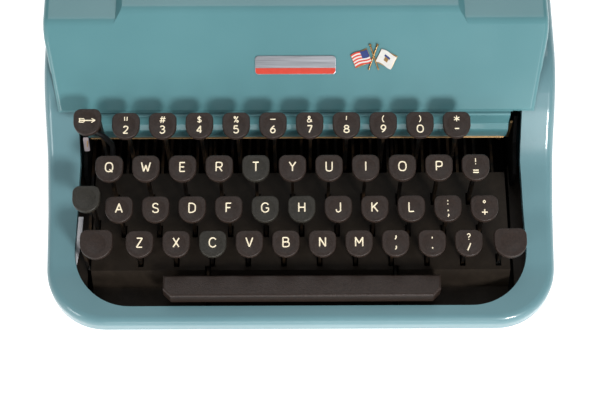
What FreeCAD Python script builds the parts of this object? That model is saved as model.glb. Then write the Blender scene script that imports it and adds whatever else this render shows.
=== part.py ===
"""A portable manual typewriter of the 1950s: sheet-metal casing, hinged ribbon cover, four rows of key
levers, type basket and sliding carriage.

Millimetres, +X to the typist's right, +Y towards the back, +Z up. The origin is under the middle of the
object, on the surface that its rubber feet stand on.
"""
import FreeCAD
import Part
import Sketcher

import math
import os
import re

# Driving dimensions, in millimetres and degrees.
SIZES = {
    # casing
    "half_width": 135.5,
    "half_length": 143.5,
    "wall": 1.6,
    "front_corner": 32.0,
    "back_corner": 22.0,
    "top_edge": 4.5,
    "tuck_under": 12.0,
    "rim_bottom": 9.0,
    "front_rim": 31.0,
    "deck_top": 84.0,
    "opening_front": 134.2,
    "opening_half_front": 122.5,
    "opening_half_back": 117.5,
    "opening_back": 36.0,
    "opening_corner": 30.0,
    "flange_depth": 4.5,
    "flange_thick": 1.4,
    "soft_bend": 40.0,
    # ribbon cover
    "cover_front": 39.5,
    "cover_shift": -2.0,
    "cover_lip": 73.0,
    "cover_half_front": 126.0,
    "cover_half_back": 132.4,
    "cover_flare_end": 6.0,
    "cover_back": 22.5,
    "shoulder_bend": 1.3,
    "shoulder_top": 101.0,
    "hood_bend": 3.8,
    "hood_left": 92.5,
    "hood_right": 86.5,
    "hood_step": 3.6,
    "cover_bend": 8.0,
    "cover_edge": 3.0,
    "hem_depth": 2.8,
    "hem_half_width": 114.5,
    "cover_pin_y": 19.0,
    "cover_pin_z": 94.5,
    "cover_pin": 1.5,
    "lug_x": 126.4,
    "lug_thick": 2.6,
    "lug_round": 3.0,
    # apron
    "apron_y": 41.0,
    "apron_top": 69.6,
    "apron_bottom": 46.0,
    "apron_nose": 2.2,
    "apron_thick": 1.3,
    "apron_shelf": 4.5,
    "apron_half_width": 113.1,
    "apron_shift": -1.6,
    # frame
    "foot_height": 8.0,
    "foot_radius": 9.0,
    "foot_x": 103.0,
    "foot_y": 108.0,
    "pan_top": 9.5,
    "pan_half_width": 119.5,
    "pan_half_length": 127.5,
    "side_plate_inner": 115.0,
    "side_plate": 2.0,
    "side_plate_top": 58.0,
    # key levers
    "pivot_y": 60.0,
    "pivot_z": 27.0,
    "pivot_rod": 2.0,
    "running_fit": 0.05,
    "lever_pitch": 4.7625,
    "first_lever": -99.4,
    "lever_thick": 1.5,
    "lever_bottom": 24.0,
    "lever_top": 30.0,
    "lever_tail": 64.5,
    "stem_depth": 4.0,
    "slot_width": 3.0,
    "shift_shaft_y": 72.0,
    "shift_shaft": 2.5,
    # key caps
    "cap_width": 14.3,
    "cap_depth": 14.3,
    "cap_corner": 3.8,
    "cap_plate": 2.6,
    "cap_tilt": 5.0,
    "cap_boss": 3.4,
    "boss_inset": 1.8,
    "cap_edge": 0.6,
    "dish_radius": 26.0,
    "dish_depth": 0.55,
    "shift_cap_width": 17.1,
    "shift_cap_depth": 15.8,
    # space bar
    "bar_front": 132.2,
    "bar_back": 120.2,
    "bar_top": 41.0,
    "bar_height": 8.6,
    "bar_half_length": 73.0,
    "bar_middle": 0.5,
    "bar_end_chamfer": 4.0,
    # keyboard plate
    "plate_top": 33.0,
    "plate_thick": 1.2,
    "plate_back": 57.6,
    "plate_bend": 114.5,
    "plate_front": 136.0,
    "plate_front_top": 20.5,
    "plate_half_width": 111.5,
    # type basket
    "print_x": -3.0,
    "print_y": 29.0,
    "print_z": 106.0,
    "bar_length": 51.0,
    "bar_thick": 1.2,
    "slug_radius": 44.0,
    "fan_angle": 108.0,
    # carriage
    "rail_y": 76.0,
    "rail_half_length": 112.0,
    "platen_y": 46.0,
    "platen_z": 106.0,
    "platen_radius": 16.0,
    "platen_half_length": 119.0,
    "platen_shaft": 4.0,
    "knob_radius": 15.0,
    "knob_inner": 138.0,
    "knob_outer": 160.0,
    "cheek_inner": 125.0,
    "cheek_thick": 3.0,
    "cheek_front": 33.0,
    "cheek_back": 95.0,
    "cheek_low": 98.0,
    "cheek_high": 119.0,
    "channel_lift": 11.4,
    "table_top": 140.0,
    "table_foot": 100.0,
    "return_x": 134.5,
    "return_y": 80.0,
    "return_z": 124.0,
    "return_reach": 46.0,
    # ribbon spools
    "spool_x": 103.5,
    "spool_radius": 18.5,
    "spool_bottom": 61.0,
    "spool_height": 12.0,
    "spool_post": 3.0,
}

# Rows of typing keys from back to front: Y of the cap, Z of its top, first lever, the cap's offset from its
# lever in X, and the keys from left to right.
ROWS = (
    ("number", -54.0, 84.3, 2, -0.5, ("2", "3", "4", "5", "6", "7", "8", "9", "0", "hyphen")),
    ("upper", -73.0, 72.7, 0, 0.0, ("q", "w", "e", "r", "t", "y", "u", "i", "o", "p", "equals")),
    ("home", -91.5, 62.0, 1, 0.0, ("a", "s", "d", "f", "g", "h", "j", "k", "l", "semicolon", "plus")),
    ("lower", -108.5, 55.8, 3, 1.2, ("z", "x", "c", "v", "b", "n", "m", "comma", "period", "slash")),
)
LEVERS_PER_KEY = 4
BOSS_TAPER = -24.0
TYPEBARS = 42

doc = FreeCAD.newDocument("Typewriter")
sheet = doc.addObject("Spreadsheet::Sheet", "Sizes")
kept = []


def fill_sheet():
    """Writes each driving dimension in a cell with its alias."""
    for row, (name, value) in enumerate(SIZES.items(), 1):
        sheet.set(f"A{row}", name)
        sheet.set(f"B{row}", str(value))
        sheet.setAlias(f"B{row}", name)
    doc.recompute()


def bound(text):
    """Turns names of dimensions into references to the sheet, and leaves functions such as sin() alone."""
    return re.sub(r"\b([a-z][a-z_]+)\b(?!\()", r"Sizes.\1", str(text))


def value(text):
    """The present value of an expression in the sheet's dimensions."""
    return float(sheet.evalExpression(bound(text)))


def keep(item, label):
    """Names an object as a sub-part to export."""
    item.Label = label
    kept.append(item)
    return item


def new_body(name):
    return doc.addObject("PartDesign::Body", name)


def sketch_on(body, role, name, offset="0"):
    """A sketch on one of the body's own planes, moved along its normal."""
    sketch = body.newObject("Sketcher::SketchObject", name)
    support = next(item for item in body.Origin.OriginFeatures if item.Role == role)
    sketch.AttachmentSupport = [(support, "")]
    sketch.MapMode = "FlatFace"
    sketch.setExpression("AttachmentOffset.Base.z", bound(offset))
    return sketch


def place_point(sketch, geometry, point, corner):
    """Dimensions one point of a sketch from its origin, bound to the sheet."""
    for kind, text in zip(("DistanceX", "DistanceY"), corner):
        index = sketch.addConstraint(Sketcher.Constraint(kind, -1, 1, geometry, point, value(text)))
        sketch.setExpression(f"Constraints[{index}]", bound(text))


def polygon(sketch, corners):
    """Straight lines through the corners, each a pair of expressions."""
    points = [FreeCAD.Vector(value(across), value(along), 0) for across, along in corners]
    first = sketch.GeometryCount
    for start, end in zip(points, points[1:] + points[:1]):
        sketch.addGeometry(Part.LineSegment(start, end), False)
    count = len(points)
    for index in range(count):
        following = (index + 1) % count
        sketch.addConstraint(Sketcher.Constraint("Coincident", first + index, 2, first + following, 1))
    for index, corner in enumerate(corners):
        place_point(sketch, first + index, 1, corner)
    return sketch


def circle(sketch, centre, radius):
    """A circle whose centre and radius are bound to the sheet."""
    middle = FreeCAD.Vector(value(centre[0]), value(centre[1]), 0)
    index = sketch.addGeometry(Part.Circle(middle, FreeCAD.Vector(0, 0, 1), value(radius)), False)
    place_point(sketch, index, 3, centre)
    size = sketch.addConstraint(Sketcher.Constraint("Radius", index, value(radius)))
    sketch.setExpression(f"Constraints[{size}]", bound(radius))
    return sketch


def pad(body, sketch, name, length, both_ways=False, taper=0.0, reverse=False):
    """Extrudes a sketch into the body."""
    feature = body.newObject("PartDesign::Pad", name)
    feature.Profile = sketch
    feature.setExpression("Length", bound(length))
    if both_ways:
        feature.SideType = "Symmetric"
    feature.TaperAngle = taper
    feature.Reversed = reverse
    doc.recompute()
    return feature


def pocket(body, sketch, name, length, both_ways=False, reverse=False):
    """Cuts a sketch through the body and makes sure that it took something away."""
    before = body.Shape.Volume
    feature = body.newObject("PartDesign::Pocket", name)
    feature.Profile = sketch
    feature.setExpression("Length", bound(length))
    if both_ways:
        feature.SideType = "Symmetric"
    feature.Reversed = reverse
    doc.recompute()
    if body.Shape.Volume > before - 0.01:
        raise RuntimeError(f"{body.Name}.{name} cuts nothing")
    return feature


def edges_where(feature, test):
    """Names of a feature's edges whose middle point and ends pass a test."""
    names = []
    for index, edge in enumerate(feature.Shape.Edges, 1):
        middle = edge.valueAt((edge.FirstParameter + edge.LastParameter) / 2)
        ends = [vertex.Point for vertex in edge.Vertexes]
        if test(middle, ends):
            names.append(f"Edge{index}")
    return names


def round_edges(body, name, radius, test):
    """Fillets the edges of the body's tip that pass a test."""
    base = body.Tip
    feature = body.newObject("PartDesign::Fillet", name)
    feature.Base = (base, edges_where(base, test))
    feature.setExpression("Radius", bound(radius))
    doc.recompute()
    return feature


def bevel_edges(body, name, size, test):
    """Chamfers the edges of the body's tip that pass a test."""
    base = body.Tip
    feature = body.newObject("PartDesign::Chamfer", name)
    feature.Base = (base, edges_where(base, test))
    feature.setExpression("Size", bound(size))
    doc.recompute()
    return feature


def upright(ends):
    """Whether an edge runs straight up."""
    return len(ends) == 2 and math.hypot(ends[0].x - ends[1].x, ends[0].y - ends[1].y) < 0.01


def primitive(kind, name, placement=None, **sizes):
    """A Part primitive whose sizes are bound to the sheet."""
    item = doc.addObject(f"Part::{kind}", name)
    for key, text in sizes.items():
        item.setExpression(key, bound(text))
    for axis, text in zip("xyz", placement or ()):
        item.setExpression(f"Placement.Base.{axis}", bound(text))
    return item


def box(name, low, high):
    """A Part::Box between two corners, each three expressions."""
    spans = [f"({top}) - ({bottom})" for bottom, top in zip(low, high)]
    return primitive("Box", name, low, Length=spans[0], Width=spans[1], Height=spans[2])


def rod(name, start, radius, length, along="z"):
    """A Part::Cylinder from a start point along an axis."""
    item = primitive("Cylinder", name, start, Radius=radius, Height=length)
    turns = {"x": FreeCAD.Rotation(FreeCAD.Vector(0, 1, 0), 90),
             "y": FreeCAD.Rotation(FreeCAD.Vector(1, 0, 0), -90)}
    if along in turns:
        item.Placement.Rotation = turns[along]
    return item


def joined(name, *items):
    """A fuse of several objects."""
    item = doc.addObject("Part::MultiFuse", name)
    item.Shapes = list(items)
    item.Refine = True
    return item


def cut(name, base, *tools):
    """The base with the tools taken away."""
    for index, tool in enumerate(tools):
        item = doc.addObject("Part::Cut", f"{name}_{index}")
        item.Base = base
        item.Tool = tool
        item.Refine = True
        base = item
    doc.recompute()
    return base


def on_outline(point, inset):
    """Whether a point lies on the casing's rounded outline, seen from above."""
    half_width = value("half_width") - inset
    half_length = value("half_length") - inset
    corner = value("front_corner" if point.y < 0 else "back_corner") - inset
    past_x = abs(point.x) - (half_width - corner)
    past_y = abs(point.y) - (half_length - corner)
    if past_x > 0 and past_y > 0:
        return abs(math.hypot(past_x, past_y) - corner) < 0.05
    return abs(abs(point.x) - half_width) < 0.05 or abs(abs(point.y) - half_length) < 0.05


def casing_block(name, inset, sink, rounded):
    """The casing's outer form, or its hollow when it is inset from it and sunk below its top."""
    body = new_body(name)
    low = 1.0 if inset else 0.0
    plan = sketch_on(body, "XY_Plane", name + "Plan", f"rim_bottom - {low}")
    half_x = f"half_width - {inset}"
    half_y = f"half_length - {inset}"
    polygon(plan, [(f"-({half_x})", f"-({half_y})"), (half_x, f"-({half_y})"), (half_x, half_y),
                   (f"-({half_x})", half_y)])
    pad(body, plan, name + "Walls", f"deck_top + {10 + low} - rim_bottom")
    round_edges(body, name + "FrontCorners", f"front_corner - {inset}",
                lambda p, ends: upright(ends) and p.y < 0)
    round_edges(body, name + "BackCorners", f"back_corner - {inset}",
                lambda p, ends: upright(ends) and p.y > 0)
    floor = value("rim_bottom") - low
    tuck = f"tuck_under + {low + inset * (math.sqrt(2) - 1)}"
    bevel_edges(body, name + "Tuck", tuck, lambda p, ends: abs(p.z - floor) < 0.01)
    side = sketch_on(body, "YZ_Plane", name + "Profile")
    tops = [("-half_length - 1", "front_rim"), ("-114.5", "front_rim + 2"), ("-85", "front_rim + 10"),
            ("-56.5", "front_rim + 23"), ("-39.5", "front_rim + 39"), ("-23.5", "deck_top - 2"),
            ("-10", "deck_top"), ("118", "deck_top"), ("half_length + 1", "deck_top - 20")]
    corners = [(along, f"{height} - {sink}") for along, height in tops]
    roof = f"deck_top + {30 + low}"
    polygon(side, corners + [("half_length + 1", roof), ("-half_length - 1", roof)])
    pocket(body, side, name + "Top", "2 * half_width + 10", both_ways=True)

    def bend(point, ends):
        return abs(ends[0].y - ends[-1].y) < 0.01 and point.z > floor + 20 and abs(point.y) < 130

    def top_edge(point, ends):
        return on_outline(point, inset) and point.z > floor + 14 and not upright(ends)

    round_edges(body, name + "Bends", "soft_bend", bend)
    if rounded:
        round_edges(body, name + "TopEdge", f"top_edge - {inset}", top_edge)
    return body


def opening_prism(name, grow):
    """The keyboard opening seen from above, as a tall block."""
    body = new_body(name)
    plan = sketch_on(body, "XY_Plane", name + "Plan", "rim_bottom + 8")
    front = f"opening_half_front + {grow}"
    back = f"opening_half_back + {grow}"
    polygon(plan, [(f"-({front})", f"-opening_front - {grow}"), (front, f"-opening_front - {grow}"),
                   (back, "-60"), (back, f"opening_back + {grow}"), (f"-({back})", f"opening_back + {grow}"),
                   (f"-({back})", "-60")])
    pad(body, plan, name + "Block", "deck_top")
    round_edges(body, name + "Corners", f"opening_corner + {grow}",
                lambda p, ends: upright(ends) and p.y < -100)
    return body


def hinge_lug(side):
    """A lug on the deck that holds one of the ribbon cover's pins."""
    name = "LeftLug" if side < 0 else "RightLug"
    start = "cover_shift - lug_x - lug_thick" if side < 0 else "cover_shift + lug_x"
    foot = box(name + "Foot", (start, "cover_pin_y - lug_round", "deck_top"),
               (f"{start} + lug_thick", "cover_pin_y + lug_round", "cover_pin_z"))
    eye = rod(name + "Eye", (start, "cover_pin_y", "cover_pin_z"), "lug_round", "lug_thick", "x")
    hole = rod(name + "Hole", (f"{start} - 1", "cover_pin_y", "cover_pin_z"), "cover_pin + running_fit",
               "lug_thick + 2", "x")
    return cut(name, joined(name + "Plate", foot, eye), hole)


def body_shell():
    """The enamelled casing: a sheet turned down round the keyboard, and the lugs riveted to its deck."""
    wall = value("wall")
    outer = casing_block("CasingOuter", 0, 0, True)
    inner = casing_block("CasingInner", wall, wall + 0.4, True)
    deep = casing_block("CasingDeep", wall, value("flange_depth"), False)
    sheet_metal = cut("CasingSheet", outer, inner, opening_prism("Opening", 0))
    ring = cut("FlangeRing", opening_prism("FlangeOuter", value("flange_thick")),
               opening_prism("FlangeInner", 0))
    band = cut("FlangeBand", casing_block("CasingBand", 0, 0, True), deep)
    flange = doc.addObject("Part::Common", "Flange")
    flange.Base = ring
    flange.Tool = band
    shell = doc.addObject("Part::Compound", "BodyShell")
    shell.Links = [joined("Casing", sheet_metal, flange), hinge_lug(-1), hinge_lug(1)]
    return keep(shell, "body_shell")


def slope_height(along):
    """Height of the cover's sloping face at a place along Y."""
    rise = "(shoulder_top - cover_lip) / (cover_front - shoulder_bend)"
    return f"cover_lip + (cover_front + ({along})) * {rise}"


def shoulder_block(name, inset, sink, front, back, underside):
    """The ribbon cover's wedge with its two flat shoulders, or the hollow in it."""
    body = new_body(name)
    side = sketch_on(body, "YZ_Plane", name + "Profile")
    polygon(side, underside + [(back, f"shoulder_top - {sink}"), ("-shoulder_bend", f"shoulder_top - {sink}"),
                               (front, f"{slope_height(front)} - {sink}")])
    pad(body, side, name + "Wedge", f"2 * (cover_half_back - {inset})", both_ways=True)
    flare = sketch_on(body, "XY_Plane", name + "Flare", "50")
    for sign in ("-", ""):
        polygon(flare, [(f"{sign}(cover_half_front - {inset})", "-cover_front"),
                        (f"{sign}(cover_half_back - {inset})", "-cover_flare_end"),
                        (f"{sign}(cover_half_back + 5)", "-cover_flare_end"),
                        (f"{sign}(cover_half_back + 5)", "-cover_front - 8"),
                        (f"{sign}(cover_half_front - 1.4 - {inset})", "-cover_front - 8")])
    pocket(body, flare, name + "FlareCut", "80", reverse=True)
    flare_end = value("cover_flare_end")
    round_edges(body, name + "FlareBend", "4 * cover_bend",
                lambda p, ends: upright(ends) and abs(p.y + flare_end) < 0.1)
    bend_z = value("shoulder_top") - sink

    def bend(point, ends):
        return abs(point.z - bend_z) < 0.01 and abs(ends[0].y - ends[-1].y) < 0.01 and point.y < 5

    round_edges(body, name + "Bend", f"cover_bend - {inset}", bend)

    def side_edge(point, ends):
        run = min(max(point.y, -value("cover_front")), 0.0)
        high = point.z > min(value(slope_height(str(run))) - sink, bend_z) - 1.0
        lengthwise = abs(ends[0].y - ends[-1].y) > 1
        return abs(point.x) > value("cover_half_front") - inset - 0.5 and high and lengthwise

    if not inset:
        round_edges(body, name + "Sides", "cover_edge", side_edge)
    return body


def hood_block(name, inset, sink, back):
    """The taller middle of the ribbon cover, with its sloping end walls, or the hollow in it."""
    body = new_body(name)
    hood_top = slope_height("hood_bend") + f" - {sink}"
    low = f"shoulder_top - {sink} - hood_step"
    section = sketch_on(body, "XZ_Plane", name + "Section", f"-({back})")
    polygon(section, [(f"-hood_left + {inset} - 1.5 * hood_step", low),
                      (f"hood_right - {inset} + 1.5 * hood_step", low),
                      (f"hood_right - {inset} - hood_step / 2", hood_top),
                      (f"-hood_left + {inset} + hood_step / 2", hood_top)])
    pad(body, section, name + "Pad", f"({back}) + shoulder_bend + 8")
    face = sketch_on(body, "YZ_Plane", name + "Slope")
    polygon(face, [("-20", slope_height("-20") + f" - {sink}"), ("hood_bend", hood_top),
                   ("hood_bend", f"{hood_top} + 12"), ("-20", f"{hood_top} + 12")])
    pocket(body, face, name + "SlopeCut", "2 * cover_half_back", both_ways=True)
    top = value(hood_top)

    def bend(point, ends):
        return abs(point.z - top) < 0.01 and abs(ends[0].y - ends[-1].y) < 0.01 and point.y < 10

    round_edges(body, name + "Bend", f"cover_bend - {inset}", bend)
    return body


def ribbon_cover():
    """The hinged cover above the spools, with its turned-down hem, its opening for the type and its pins."""
    wall = value("wall")
    underside = [("-cover_front", "cover_lip - 2"), ("-23.5", "deck_top - 0.5"), ("-10", "deck_top + 1.5"),
                 ("cover_back", "deck_top + 1.5")]
    outer = joined("CoverOuter", shoulder_block("Shoulders", 0, 0, "-cover_front", "cover_back", underside),
                   hood_block("Hood", 0, 0, "cover_back"))
    low = [("-cover_front - 8", "deck_top - 30"), ("cover_back + 2", "deck_top - 30")]
    inner = joined("CoverHollow",
                   shoulder_block("ShoulderHollow", wall, wall + 0.3, "-cover_front - 8", "cover_back + 2",
                                  low),
                   hood_block("HoodHollow", wall, wall + 0.3, "cover_back + 2"))
    hem = box("CoverHem", ("-hem_half_width", "-cover_front", "cover_lip - hem_depth"),
              ("hem_half_width", f"-cover_front + {wall}", "cover_lip - 0.5"))
    notch = box("TypeOpening", ("print_x - 40", "11", "deck_top"),
                ("print_x + 40", "cover_back + 5", "shoulder_top + 12"))
    pins = []
    for sign, name in ((-1, "LeftPin"), (1, "RightPin")):
        start = "-cover_half_back + 0.5" if sign < 0 else "lug_x - 1"
        pins.append(rod(name, (start, "cover_pin_y", "cover_pin_z"), "cover_pin",
                        "cover_half_back - lug_x + 0.5", "x"))
    skin = cut("CoverSkin", outer, inner, notch)
    cover = joined("RibbonCover", skin, hem, *pins)
    cover.setExpression("Placement.Base.x", bound("cover_shift"))
    return keep(cover, "ribbon_cover")


def front_apron():
    """The enamelled skirt below the cover's edge, with a rolled nose and a steel pin at each end."""
    body = new_body("ApronSheet")
    side = sketch_on(body, "YZ_Plane", "ApronProfile")
    face = [("-apron_y + apron_shelf", "apron_top"), ("-apron_y", "apron_top"),
            ("-apron_y", "apron_top - 10"),
            ("-apron_y - apron_nose", "apron_top - 13"), ("-apron_y - apron_nose", "apron_top - 15.5"),
            ("-apron_y - apron_nose / 2", "apron_bottom")]
    behind = [("-apron_y - apron_nose / 2 + apron_thick", "apron_bottom"),
              ("-apron_y - apron_nose + apron_thick", "apron_top - 15.5"),
              ("-apron_y - apron_nose + apron_thick", "apron_top - 13"),
              ("-apron_y + apron_thick", "apron_top - 10"),
              ("-apron_y + apron_thick", "apron_top - apron_thick"),
              ("-apron_y + apron_shelf", "apron_top - apron_thick")]
    polygon(side, face + behind)
    pad(body, side, "ApronPad", "2 * apron_half_width", both_ways=True)
    low = value("apron_bottom") + 1
    high = value("apron_top")

    def across(ends):
        return abs(ends[0].y - ends[-1].y) < 0.01 and abs(ends[0].z - ends[-1].z) < 0.01

    round_edges(body, "ApronBend", "apron_thick", lambda p, ends: across(ends) and p.z > high - 0.1
                and p.y < -value("apron_y") + 0.1)
    round_edges(body, "ApronNose", "apron_thick", lambda p, ends: across(ends) and low < p.z < high - 5)
    pins = [rod(f"ApronPin{index}", (across, "-apron_y + apron_thick / 2", "apron_bottom - 5"), "1.3", "6")
            for index, across in enumerate(("-apron_half_width + 3", "apron_half_width - 3"))]
    apron = joined("FrontApron", body, *pins)
    apron.setExpression("Placement.Base.x", bound("apron_shift"))
    return keep(apron, "front_apron")


def lever_blade(name, across, corners):
    """A flat steel lever cut in a plane across the machine, with the hole for the pivot rod."""
    body = new_body(name)
    body.setExpression("Placement.Base.x", bound(across))
    side = sketch_on(body, "YZ_Plane", name + "Side")
    polygon(side, corners)
    circle(side, ("pivot_y", "pivot_z"), "pivot_rod + running_fit")
    pad(body, side, name + "Blade", "lever_thick", both_ways=True)
    return body


def lever_corners(cap_y, stem_top):
    """A lever from its tail to the stem under its key."""
    return [(f"{cap_y} - stem_depth / 2", "lever_bottom"), ("lever_tail", "lever_bottom"),
            ("lever_tail", "lever_top"),
            (f"{cap_y} + stem_depth / 2", "lever_top"), (f"{cap_y} + stem_depth / 2", stem_top),
            (f"{cap_y} - stem_depth / 2", stem_top)]


def shield(sketch, width, depth, inset="0"):
    """A key cap's outline about the origin: straight at the back, and half a circle at the front."""
    half = value(width) / 2 - value(inset)
    corner = value("cap_corner")
    arc_y = value(f"({width}) / 2 - ({depth}) / 2")
    back = value(depth) / 2 - value(inset)
    up = FreeCAD.Vector(0, 0, 1)

    def arc(centre, radius, start, end):
        ring = Part.Circle(FreeCAD.Vector(centre[0], centre[1], 0), up, radius)
        sketch.addGeometry(Part.ArcOfCircle(ring, math.radians(start), math.radians(end)), False)

    def line(start, end):
        sketch.addGeometry(Part.LineSegment(FreeCAD.Vector(*start, 0), FreeCAD.Vector(*end, 0)), False)

    arc((0.0, arc_y), half, 180, 360)
    line((half, arc_y), (half, back - corner))
    arc((half - corner, back - corner), corner, 0, 90)
    line((half - corner, back), (corner - half, back))
    arc((corner - half, back - corner), corner, 90, 180)
    line((-half, back - corner), (-half, arc_y))
    front, right, right_corner, rear, left_corner, left = range(6)
    joints = ((front, 2, right, 1), (right, 2, right_corner, 1), (right_corner, 2, rear, 1),
              (rear, 2, left_corner, 1), (left_corner, 2, left, 1), (left, 2, front, 1))
    for joint in joints:
        sketch.addConstraint(Sketcher.Constraint("Tangent", *joint))
    sketch.addConstraint(Sketcher.Constraint("Vertical", right))
    sketch.addConstraint(Sketcher.Constraint("Horizontal", rear))
    sketch.addConstraint(Sketcher.Constraint("Equal", right_corner, left_corner))
    place_point(sketch, front, 3, ("0", f"({width}) / 2 - ({depth}) / 2"))
    radius = sketch.addConstraint(Sketcher.Constraint("Radius", front, half))
    sketch.setExpression(f"Constraints[{radius}]", bound(f"({width}) / 2 - ({inset})"))
    small = sketch.addConstraint(Sketcher.Constraint("Radius", right_corner, corner))
    sketch.setExpression(f"Constraints[{small}]", bound("cap_corner"))
    reach = sketch.addConstraint(Sketcher.Constraint("DistanceY", front, 3, rear, 1, back - arc_y))
    sketch.setExpression(f"Constraints[{reach}]", bound(f"({depth}) - ({width}) / 2 - ({inset})"))


def cap_sketch(body, name, middle, depth):
    """A sketch in a plane of a tilted cap, a depth below the middle of its top face."""
    across, along, top = middle
    sketch = sketch_on(body, "XY_Plane", name, f"{top} - ({depth}) * cos(cap_tilt)")
    sketch.setExpression("AttachmentOffset.Base.x", bound(across))
    sketch.setExpression("AttachmentOffset.Base.y", bound(f"{along} + ({depth}) * sin(cap_tilt)"))
    sketch.setExpression("AttachmentOffset.Rotation.Roll", bound("cap_tilt"))
    return sketch


def add_cap(body, middle, width, depth):
    """A moulded cap that leans to the typist: a shallow dish in a plate, on a boss that narrows downwards."""
    name = body.Name
    boss = cap_sketch(body, name + "BossOutline", middle, "cap_plate")
    shield(boss, width, depth, "boss_inset / 3")
    pad(body, boss, name + "Boss", "cap_boss", taper=BOSS_TAPER, reverse=True)
    plate = cap_sketch(body, name + "CapOutline", middle, "cap_plate")
    shield(plate, width, depth)
    pad(body, plate, name + "Cap", "cap_plate")
    across, along, top = (value(place) for place in middle)
    lean = math.radians(value("cap_tilt"))

    def top_rim(point, ends):
        return abs((point.z - top) * math.cos(lean) - (point.y - along) * math.sin(lean)) < 0.01

    round_edges(body, name + "CapEdge", "cap_edge", top_rim)
    dish = body.newObject("PartDesign::SubtractiveSphere", name + "Dish")
    dish.setExpression("Radius", bound("dish_radius"))
    dish.setExpression("Placement.Base.x", bound(middle[0]))
    dish.setExpression("Placement.Base.y", bound(f"{middle[1]} - (dish_radius - dish_depth) * sin(cap_tilt)"))
    dish.setExpression("Placement.Base.z", bound(f"{middle[2]} + (dish_radius - dish_depth) * cos(cap_tilt)"))
    doc.recompute()


def key(name, lever, offset, cap_y, top, width="cap_width", depth="cap_depth"):
    """A key: its lever, counted from the left of the grid, its stem and its cap."""
    stem_top = f"{top} - cap_plate - cap_boss / 2"
    body = lever_blade(name, f"first_lever + {lever} * lever_pitch", lever_corners(cap_y, stem_top))
    add_cap(body, (offset, cap_y, top), width, depth)
    return body


def typing_keys():
    """Four rows of keys, each on its own lever."""
    for row, cap_y, top, first, offset, names in ROWS:
        for column, name in enumerate(names):
            lever = first + LEVERS_PER_KEY * column
            keep(key(f"Key_{name}", lever, str(offset), str(cap_y), str(top)), f"key_{name}")


def backspace_key():
    """The arrow key at the left end of the number row."""
    return keep(key("BackspaceKey", -1, "-6.2", "-52", "85"), "backspace_key")


def shift_lock_key():
    """The blank key at the left end of the home row, which holds the shift down."""
    return keep(key("ShiftLockKey", -2, "-2.3", "-88.1", "68"), "shift_lock_key")


def shift_keys():
    """The two shift keys, joined by a shaft behind the pivot so that both move as one."""
    left = key("LeftShift", -3, "7.2", "-108.5", "55.8", "shift_cap_width", "shift_cap_depth")
    right = key("RightShift", 43, "3.9", "-108.5", "55.8", "shift_cap_width", "shift_cap_depth")
    arms = []
    for name, lever in (("LeftShiftArm", -3), ("RightShiftArm", 43)):
        across = f"first_lever + {lever} * lever_pitch - lever_thick / 2"
        arms.append(box(name, (across, "lever_tail - 1", "lever_bottom"),
                        (f"{across} + lever_thick", "shift_shaft_y + 3", "lever_top")))
    shaft = rod("ShiftShaft", ("first_lever - 3 * lever_pitch", "shift_shaft_y", "pivot_z"), "shift_shaft",
                "46 * lever_pitch", "x")
    return keep(joined("ShiftKeys", left, right, shaft, *arms), "shift_keys")


def space_bar():
    """The space bar on its two arms, which run midway between key levers."""
    bar = new_body("SpaceBarTop")
    plan = sketch_on(bar, "XY_Plane", "SpaceBarPlan", "bar_top - bar_height")
    left = "bar_middle - bar_half_length"
    right = "bar_middle + bar_half_length"
    polygon(plan, [(left, "-bar_back"), (left, "-bar_front + bar_end_chamfer"),
                   (f"{left} + bar_end_chamfer", "-bar_front"), (f"{right} - bar_end_chamfer", "-bar_front"),
                   (right, "-bar_front + bar_end_chamfer"), (right, "-bar_back")])
    pad(bar, plan, "SpaceBarPad", "bar_height")
    top = value("bar_top")
    round_edges(bar, "SpaceBarEdge", "1.2", lambda p, ends: abs(p.z - top) < 0.01)
    arms = []
    for name, lever in (("LeftSpaceArm", 10.5), ("RightSpaceArm", 31.5)):
        arms.append(lever_blade(name, f"first_lever + {lever} * lever_pitch",
                                lever_corners("-(bar_front + bar_back) / 2", "bar_top - bar_height / 2")))
    return keep(joined("SpaceBar", bar, *arms), "space_bar")


def keyboard_plate():
    """The black plate under the keys: a comb of slots for the stems and a step down to the front."""
    body = new_body("PlateSheet")
    side = sketch_on(body, "YZ_Plane", "PlateProfile")
    top = [("-plate_back", "plate_top"), ("-plate_bend", "plate_top"), ("-plate_bend - 5", "plate_front_top"),
           ("-plate_front", "plate_front_top")]
    below = [(along, f"{height} - plate_thick") for along, height in reversed(top)]
    below[1] = ("-plate_bend - 5 + plate_thick / 2", "plate_front_top - plate_thick")
    below[2] = ("-plate_bend + plate_thick / 2", "plate_top - plate_thick")
    polygon(side, top + below)
    pad(body, side, "PlatePad", "2 * plate_half_width", both_ways=True)
    for row, cap_y, _, first, _, names in ROWS[1:]:
        slot_row(body, row.title(), f"first_lever + {first} * lever_pitch", f"{cap_y} - 0.5",
                 "stem_depth + 3", LEVERS_PER_KEY, len(names))
    slot_row(body, "Lock", "first_lever - 2 * lever_pitch", "-88.6", "stem_depth + 3")
    slot_row(body, "Shift", "first_lever + 43 * lever_pitch", "-109", "stem_depth + 3")
    slot_row(body, "Space", "first_lever + 10.5 * lever_pitch", "-122", "20", 21, 2)
    return keep(body, "keyboard_plate")


def slot_row(body, name, across, along, depth, levers_apart=0, count=1):
    """A slot in the keyboard plate, repeated along its row."""
    sketch = sketch_on(body, "XY_Plane", name + "Slot", "plate_top + 2")
    rectangle(sketch, (across, along), "slot_width", depth)
    slot = pocket(body, sketch, name + "SlotCut", "20")
    if count > 1:
        row = body.newObject("PartDesign::LinearPattern", name + "Slots")
        row.Originals = [slot]
        row.Direction = (sketch, ["H_Axis"])
        row.setExpression("Length", bound(f"{levers_apart * (count - 1)} * lever_pitch"))
        row.Occurrences = count
        body.Tip = row
        doc.recompute()


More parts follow.
